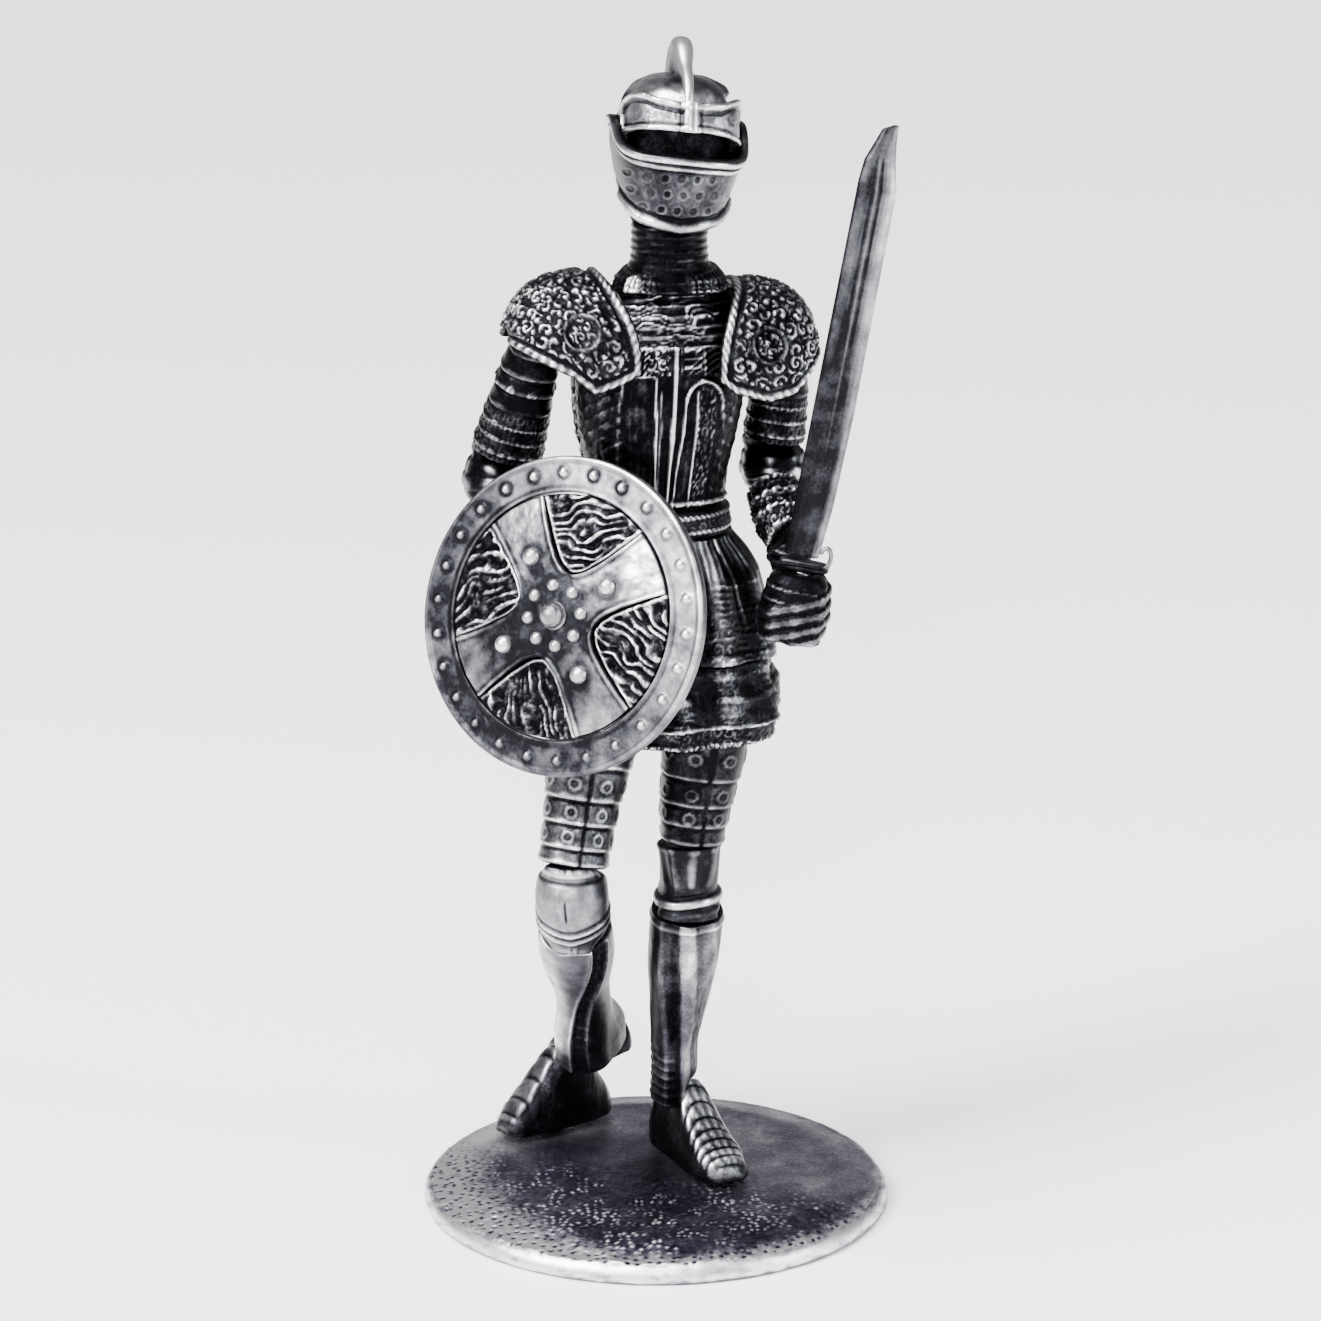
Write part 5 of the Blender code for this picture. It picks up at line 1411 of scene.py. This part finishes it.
def make_visor():
    half_width, reach_out, plate, power = 4.15, 5.7, 0.3, 3.0
    # The plate's lower and upper edge: degrees to the side, degrees up round the hinge.
    lower = [(-86, -20.0), (-76, 1.0), (-50, 6.5), (-20, 7.0), (10, 6.0), (35, 3.0), (54, -1.5), (66, -8.0),
             (86, -24.0)]
    upper = [(-86, 85.0), (-72, 60.0), (-50, 44.0), (-25, 32.0), (0, 27.0), (25, 29.0), (50, 41.0),
             (72, 58.0), (86, 85.0)]
    columns, rows = 210, 44
    spread = np.linspace(-1, 1, columns)
    turn = (86 * np.sign(spread) * abs(spread) ** 1.6)[None, :] * np.ones((rows, 1))
    across, forward = np.sin(np.radians(turn)), np.cos(np.radians(turn))
    x = np.sign(across) * abs(across) ** (2 / power) * half_width
    radius = forward ** (2 / power) * reach_out
    start, end = between(lower, turn), between(upper, turn)
    start, end = blurred(start, (1, 4), False), blurred(end, (1, 4), False)
    share = np.linspace(0, 1, rows)[:, None]
    angle = np.radians(start + (end - start) * share)
    keel = 0.58 * ridge(x, 0.66)
    outer = np.stack([x, -(radius + keel) * np.cos(angle), (radius + keel) * np.sin(angle)], -1)
    first, last = edge_distances(outer)[:2]
    height = 0.30 * ridge(last - 0.24, 0.28) + 0.24 * ridge(first - 0.2, 0.24)
    height = height - 0.16 * bell(last - 0.72, 0.14) - 0.1 * bell(first - 0.52, 0.1)
    bar = smooth(0.7, 0.5, abs(x))
    hammered = 0.09 * rough_ground(x * 0.8, angle * 5, 1.1, 121)
    hammered = hammered + 0.03 * value_noise(x * 3, angle * 3, 0.6, 122)
    height = (height + hammered) * (1 - 0.85 * bar)
    beside = bell(abs(x) - 0.76, 0.13)
    tone = 0.04 + 0.2 * ((last < 0.55) | (first < 0.45)) + 0.24 * bar - 0.45 * beside
    # Painted shade: the plate darkens where it turns back towards the hinges.
    tone = tone - 0.35 * smooth(68, 80, abs(turn))
    tone = tone + 0.3 * rough_ground(x, angle * 5, 1.3, 123) * (1 - bar)
    shell("visor_cast", HEAD.out(outer), plate, "visor", "bright_pewter", height, tone, ("visor",), gain=3.0)
    # Round ears on the pins, joined to the plate's ends, and the pins' rivet heads.
    ear = [(0.54, 0.02), (0.62, 0.04), (0.70, 0.08), (0.98, 0.10), (1.12, 0.22), (1.26, 0.20), (1.34, 0.08),
           (1.34, -0.38), (0.54, -0.38), (0.54, 0.02)]
    head = [(0.0, 0.34), (0.2, 0.32), (0.38, 0.22), (0.46, 0.06), (0.44, -0.2), (0.44, -1.7), (0.0, -1.7)]
    for side, end in ((1, "left"), (-1, "right")):
        place, outward, pin = HEAD.out([side * half_width, 0, 0]), HEAD.axes[0] * side, "visor_pin_" + end
        lathe("visor_ear_" + end, ear, place, outward, "visor", "bright_pewter", 0.7)
        lathe(pin + "_cast", head, place, outward, "figure", "bright_pewter", 0.85, (pin,))


# ---------------------------------------------------------------- sword

def make_sword():
    foot, length, wide_foot, wide_top = 1.1, 33.0, 3.1, 2.8
    rows, around = 250, 96
    rise = np.linspace(foot, length, rows)[:, None]
    half = (wide_foot + (wide_top - wide_foot) * rise / length) / 2
    west = -half * np.interp(rise, [28.8, 30.3, 31.8, 32.6, 33.0], [1, 0.9, 0.5, 0.3, -0.25])
    east = half * np.interp(rise, [1.1, 5.0, 12.0, 28.3, 30.3, 31.8, 33.0],
                            [0.62, 0.85, 1, 1, 0.7, 0.55, 0.5])
    thick = 0.45 * np.interp(rise, [0, 28.0, 30.6, 32.0, 33.0], [1, 0.85, 0.75, 0.6, 0.3])
    turn = once_round(around)[None, :]
    u = np.cos(turn)
    u = np.sign(u) * abs(u) ** 0.85
    side = np.where(np.sin(turn) < 0, -1.0, 1.0)
    # Section: bevelled edges, a broad flat, and a fuller with a thin rib down its middle.
    bevel = np.clip((1 - abs(u)) / 0.34, 0, 1)
    flat = 0.06 + 0.94 * bevel ** 0.8
    # Below the tip's bevel the fuller runs down to the guard.
    fuller = smooth(31.0, 29.4, rise) * (smooth(0.52, 0.40, abs(u)) * 0.30 - 0.24 * ridge(u, 0.10))
    y = side * thick * np.maximum(0.05, flat - fuller)
    x = (west + east) / 2 + (east - west) / 2 * u
    scratches = 0.02 * value_noise(x * 6, rise, 1.4, 131)
    points = np.stack([x * np.ones_like(rise), y + side * scratches, rise * np.ones_like(u)], -1)
    lower_half = smooth(21, 9, rise)
    channel = smooth(0.56, 0.42, abs(u)) * smooth(31.0, 29.4, rise)
    lines = smooth(0.3, 0.24, abs(u)) * smooth(0.08, 0.14, abs(u)) * smooth(31.0, 29.4, rise)
    # Painted light: the blade is lighter towards its east edge, the lit side, and darker along its west edge
    # as painted shade.
    worn = 0.34 - 0.22 * smooth(0.84, 0.93, -u) + 0.18 * smooth(0.3, 0.6, u) - 0.36 * lines - 0.10 * channel
    worn = worn + 0.2 * ridge(u, 0.10) * channel - 0.42 * lower_half
    worn = worn - 0.1 * smooth(30.5, 32.5, rise) * (abs(u) < 0.6)
    worn = worn + 0.16 * value_noise(u * 2.2, rise * 0.45, 1.0, 133)
    worn = worn + 0.10 * value_noise(u * 5, rise * 0.4, 0.8, 135)
    worn = worn + 0.3 * lower_half * smooth(0.55, 0.8, u) - 0.14 * smooth(0.2, -0.5, u)
    worn = np.clip(worn * np.ones((rows, around)), 0, 1)
    wrapped("sword_blade_cast", SWORD.out(points), worn, "sword", "bright_pewter", ("sword_blade",))

    # Guard: a block on the fist and a bar with a curl at one end and a loop at the other.
    route = [(-2.2, 1.05), (-2.55, 1.1), (-2.8, 0.8), (-2.65, 0.5), (-2.2, 0.4), (-1.2, 0.45), (0.0, 0.5),
             (1.0, 0.45)]
    for i in range(1, 9):
        angle = math.radians(-90 + 32 * i)
        route.append((1.4 + 0.42 * math.cos(angle), 1.3 + 0.85 * math.sin(angle)))
    sweep("sword_guard_bar", [SWORD.out([x, -0.6, z]) for x, z in route], 0.17, "sword", "aged_pewter",
          (0.06, 0.5))
    turn = once_round(120)[None, :]
    level = np.linspace(0, 0.75, 12)[:, None]
    swell = 1 - 0.12 * (abs(level - 0.375) / 0.375) ** 4
    x = 1.85 * np.sign(np.cos(turn)) * abs(np.cos(turn)) ** (2 / 2.6) * swell
    y = 0.7 * np.sign(np.sin(turn)) * abs(np.sin(turn)) ** (2 / 2.6) * swell
    block = np.stack([x, y, level * np.ones_like(turn)], -1)
    shade = 0.06 + 0.1 * smooth(0.45, 0.7, level) * np.ones(block.shape[:2])
    wrapped("sword_guard_block", SWORD.out(block), shade, "sword", "bright_pewter", ("sword_guard",))

    rise = np.linspace(-5.4, -0.05, 50)[:, None]
    turn = once_round(48)[None, :]
    wire = 0.05 * np.sin(turn * 2 + rise * 9)
    radius = 0.62 + wire
    grip = np.stack([radius * np.cos(turn), radius * np.sin(turn), rise * np.ones_like(turn)], -1)
    wrapped("sword_grip_cast", SWORD.out(grip), np.clip(0.35 + 6 * wire, 0, 1), "sword", "blackened_pewter",
            ("sword_grip",))


# ---------------------------------------------------------------- shield

STUD_CIRCLE, BEAD_CIRCLE = 4.75, 2.2


def arm_side(reach):
    """Half width of the cross's arms at a distance from the centre."""
    return np.interp(reach, [0, 2.3, 2.5, 2.8, 3.2, 3.8, 5.0, 6.8, 8.9],
                     [2.3, 2.3, 2.12, 1.98, 1.87, 1.8, 1.85, 2.1, 2.45])


def disc_grid(radii, spokes):
    turn = once_round(spokes)[None, :]
    radii = np.asarray(radii)[:, None]
    return radii * np.cos(turn), radii * np.sin(turn)


def make_shield():
    outer, field, thickness, cross_turn = 11.65, 8.9, 0.8, 33.0
    # The field: four hollowed panels with hammered leaves, between the arms of the cross.
    radii = np.concatenate([np.linspace(0.05, field - 0.12, 96), [field - 0.02, field, field, field - 0.1]])
    x, y = disc_grid(radii, 440)
    turn = np.radians(cross_turn)
    u, v = x * np.cos(turn) + y * np.sin(turn), -x * np.sin(turn) + y * np.cos(turn)
    reach, off = np.maximum(abs(u), abs(v)), np.minimum(abs(u), abs(v))
    beside = off - arm_side(reach)
    panel = smooth(0.2, 0.42, beside)
    leaves = np.zeros(x.shape)
    for quarter, heading in enumerate((12, 35, 105, 150)):
        middle = math.radians(cross_turn + 45 + 90 * quarter)
        here = x * math.cos(middle) + y * math.sin(middle) > 0.7071 * np.hypot(x, y)    # within 45 degrees
        leaves = np.where(here, leafy(x, y, 0.72, heading, 141 + 7 * quarter), leaves)
    leaves = 0.24 * leaves * (0.55 + 0.7 * smooth(-0.4, 0.4, value_noise(x, y, 1.5, 142)))
    leaves = leaves + 0.2 * rough_ground(x, y, 0.8, 143)
    border = 0.2 * ridge(beside - 0.24, 0.15)
    height = panel * leaves + border
    level = 0.15 + 0.5 * np.clip(1 - np.hypot(x, y) / field, 0, 1)
    level[-3], level[-2], level[-1] = -0.05, -0.3, -0.4
    # Painted light: the field is lighter towards positive x and darker towards negative y, the same fall of
    # light as on the rim.
    shade = 0.26 * rough_ground(x, y, 3.0, 157) - 0.10 * smooth(2, -6, y) + 0.14 * smooth(-1, 5, x)
    worn = wear_of(height, -0.2 + shade + 0.1 * (border > 0.05), (0.1, 0.1), True, 4.2)
    inside = (np.hypot(x, y) < field - 0.15)
    z = np.where(inside, level + height - 0.06, level)
    top = np.stack([x, y, z], -1)
    back_radii = [field - 0.5, 6.0, 4.0, 2.0, 0.05]
    bx, by = disc_grid(back_radii, 440)
    hammered = 0.04 * rough_ground(bx, by, 2.2, 145)
    under = np.stack([bx, by, -0.45 + hammered], -1)
    points = np.concatenate([top, under])
    shade = np.concatenate([np.clip(worn, 0, 1), np.full(bx.shape, 0.3)])
    wrapped("shield_board_cast", SHIELD.out(points[::-1]), shade[::-1], "shield", "blackened_pewter",
            ("shield_board",))

    # The rim: a bright band with a rolled edge and 26 rivets.
    inner = field + 0.12
    section = [(inner, -0.7), (inner, 0.0), (inner + 0.05, 0.16), (inner + 0.16, 0.2), (inner + 0.3, 0.12),
               (inner + 0.45, 0.06), (10.6, 0.05), (11.15, 0.05), (11.3, 0.12), (11.45, 0.15), (11.6, 0.08),
               (outer, -0.08), (outer, -0.5), (outer - 0.05, -0.72), (outer - 0.2, -thickness),
               (inner + 0.3, -thickness), (inner, -0.7)]
    fine = []
    for (r0, h0), (r1, h1) in zip(section, section[1:]):
        steps = max(1, int(math.hypot(r1 - r0, h1 - h0) / 0.12))
        fine += [(r0 + (r1 - r0) * k / steps, h0 + (h1 - h0) * k / steps) for k in range(steps)]
    fine = np.array(fine)
    spokes = 640
    around = once_round(spokes)
    rx, ry = fine[:, :1] * np.cos(around), fine[:, :1] * np.sin(around)
    face = (fine[:, 1] > 0.0)[:, None]
    rivet_count, rivet_radius, rivet_circle = 26, 0.37, 10.45
    pitch_angle = 2 * math.pi / rivet_count
    nearest = np.round(around / pitch_angle) * pitch_angle
    away = np.hypot(rx - rivet_circle * np.cos(nearest), ry - rivet_circle * np.sin(nearest))
    dents = 0.035 * rough_ground(rx, ry, 2.4, 147)
    lift = (0.34 * dome(away, rivet_radius) + dents) * face
    rim = np.stack([rx, ry, fine[:, 1:] + lift], -1)
    own = hashed(np.round(around / pitch_angle) % rivet_count, np.array(0.0), 159)[None, :]
    lit = smooth(-5, 9, 0.8 * rx + 0.6 * ry)
    # Painted shadow: a dark ring round each rivet, stronger on the side away from the light.
    rivet_shadow = (0.25 + 0.5 * own) * bell(away - 0.47, 0.18) * smooth(10, -6, rx - ry * 0.6)
    worn = 0.10 + 0.46 * lit + 0.5 * dome(away, rivet_radius) - rivet_shadow
    worn = worn + 0.26 * rough_ground(rx, ry, 2.6, 149) + 0.16 * rough_ground(rx, ry, 0.9, 150)
    worn = worn + 0.2 * (fine[:, :1] > 11.3)
    # Painted shadow: a thin dark line beside the rim's inner bead.
    worn = worn - 0.3 * bell(fine[:, :1] - inner - 0.42, 0.14)
    worn = np.where(face, worn, 0.45)
    worn = np.where(fine[:, :1] < inner + 0.02, 0.15, worn)
    worn = np.clip(worn, 0, 1)
    ring_skin("shield_rim_cast", SHIELD.out(rim), worn, "shield", "bright_pewter", ("shield_rim",))

    # The cross: four bright arms that widen outwards, each with a raised edge.
    reach_to = field - 0.05
    for arm in range(4):
        # Two arms meet as one bar, and the others start tucked just under its sides.
        crossing = arm % 2
        along = np.linspace(1.2 if crossing else -0.5, reach_to, 84)[:, None]
        across = np.linspace(-1, 1, 61)[None, :]
        half = arm_side(along)
        widest = 0.98 * half
        # The arm's end follows the field's round edge.
        sideways = across * half * smooth(6, reach_to, along)
        end = np.sqrt(np.maximum(reach_to ** 2 - sideways ** 2, 0)) / reach_to
        ax = along * end
        ay = widest * across
        edge = (1 - abs(across)) * widest
        heading = math.radians(90 * arm + cross_turn)
        px = ax * np.cos(heading) - ay * np.sin(heading)
        py = ax * np.sin(heading) + ay * np.cos(heading)
        from_centre = np.hypot(px, py)
        free = smooth(2.2, 2.6, ax)
        height = free * 0.10 * ridge(edge - 0.13, 0.16) + 0.09 * rough_ground(px, py, 2.1, 151)
        core = smooth(4.2, 2.4, from_centre + 1.2 * value_noise(px, py, 1.0, 155))
        stud_away = np.hypot(ax - STUD_CIRCLE, ay)
        tone = -0.10 + 0.36 * rough_ground(px, py, 2.8, 153) - free * 0.22 * bell(edge - 0.4, 0.14)
        # Painted light: each arm has its own tone, lighter towards the lit side of the shield and darker away
        # from it.
        tone = tone - 0.42 * core + free * ((0.14, -0.06, -0.2, -0.04)[arm] + 0.2 * smooth(5.0, 8.0, ax))
        tone = tone - 0.3 * bell(stud_away - 0.85, 0.35) + 0.2 * rough_ground(px, py, 0.8, 156)
        crown = 0.24 + 0.75 * (1 - (from_centre / reach_to) ** 2) - 0.03 * crossing * (1 - free)
        sheet = np.stack([px * np.ones_like(ay), py, crown], -1)
        shell("shield_cross_arm_%d" % (arm + 1), SHIELD.out(sheet), 0.35, "shield", "bright_pewter", height,
              tone, ("shield_cross",), gain=3.0, out_way=SHIELD.axes[2])

    # Studs: four big ones on the arms, eight small ones round the boss. Then the boss and the peg behind it.
    def turned(name, profile, place, wear, slot="bright_pewter", replaces=()):
        lathe(name, profile, SHIELD.out(place), SHIELD.axes[2], "shield", slot, wear, replaces)

    stud = [(0.0, 0.56), (0.24, 0.51), (0.46, 0.36), (0.57, 0.14), (0.60, -0.3), (0.0, -0.3)]
    for name, count, first, circle, level, wide, tall, wear in (
            ("shield_stud_%d", 4, 0.0, STUD_CIRCLE, 0.8, 1.15, 1.2, 0.8),
            ("shield_bead_%d", 8, 22.5, BEAD_CIRCLE, 0.86, 0.85, 0.95, 0.66)):
        for k in range(count):
            heading = math.radians(360 / count * k + cross_turn + first)
            place = [circle * math.cos(heading), circle * math.sin(heading), level]
            turned(name % (k + 1), [(r * wide, h * tall) for r, h in stud], place, wear)
    boss = [(0.0, 2.12), (0.35, 2.06), (0.66, 1.86), (0.86, 1.54), (0.95, 1.22), (1.05, 1.1), (1.05, 0.8),
            (0.0, 0.8)]
    turned("shield_boss_cast", boss, [0, 0, 0], 0.55, replaces=("shield_boss",))
    peg = [(0.0, -0.75), (1.3, -0.78), (1.3, -1.12), (1.2, -1.2), (0.7, -1.2), (0.7, -3.3), (0.6, -3.4),
           (0.0, -3.4)]
    turned("shield_peg_cast", peg, [0, 0, 0], 0.4, "aged_pewter", ("shield_peg",))


# ---------------------------------------------------------------- the whole figure

make_camera()
make_stage()
make_base()
make_legs()
make_skirt()
make_torso()
make_neck_peg()
make_shoulders()
make_arms()
make_skull()
make_bevor()
make_visor()
make_sword()
make_shield()
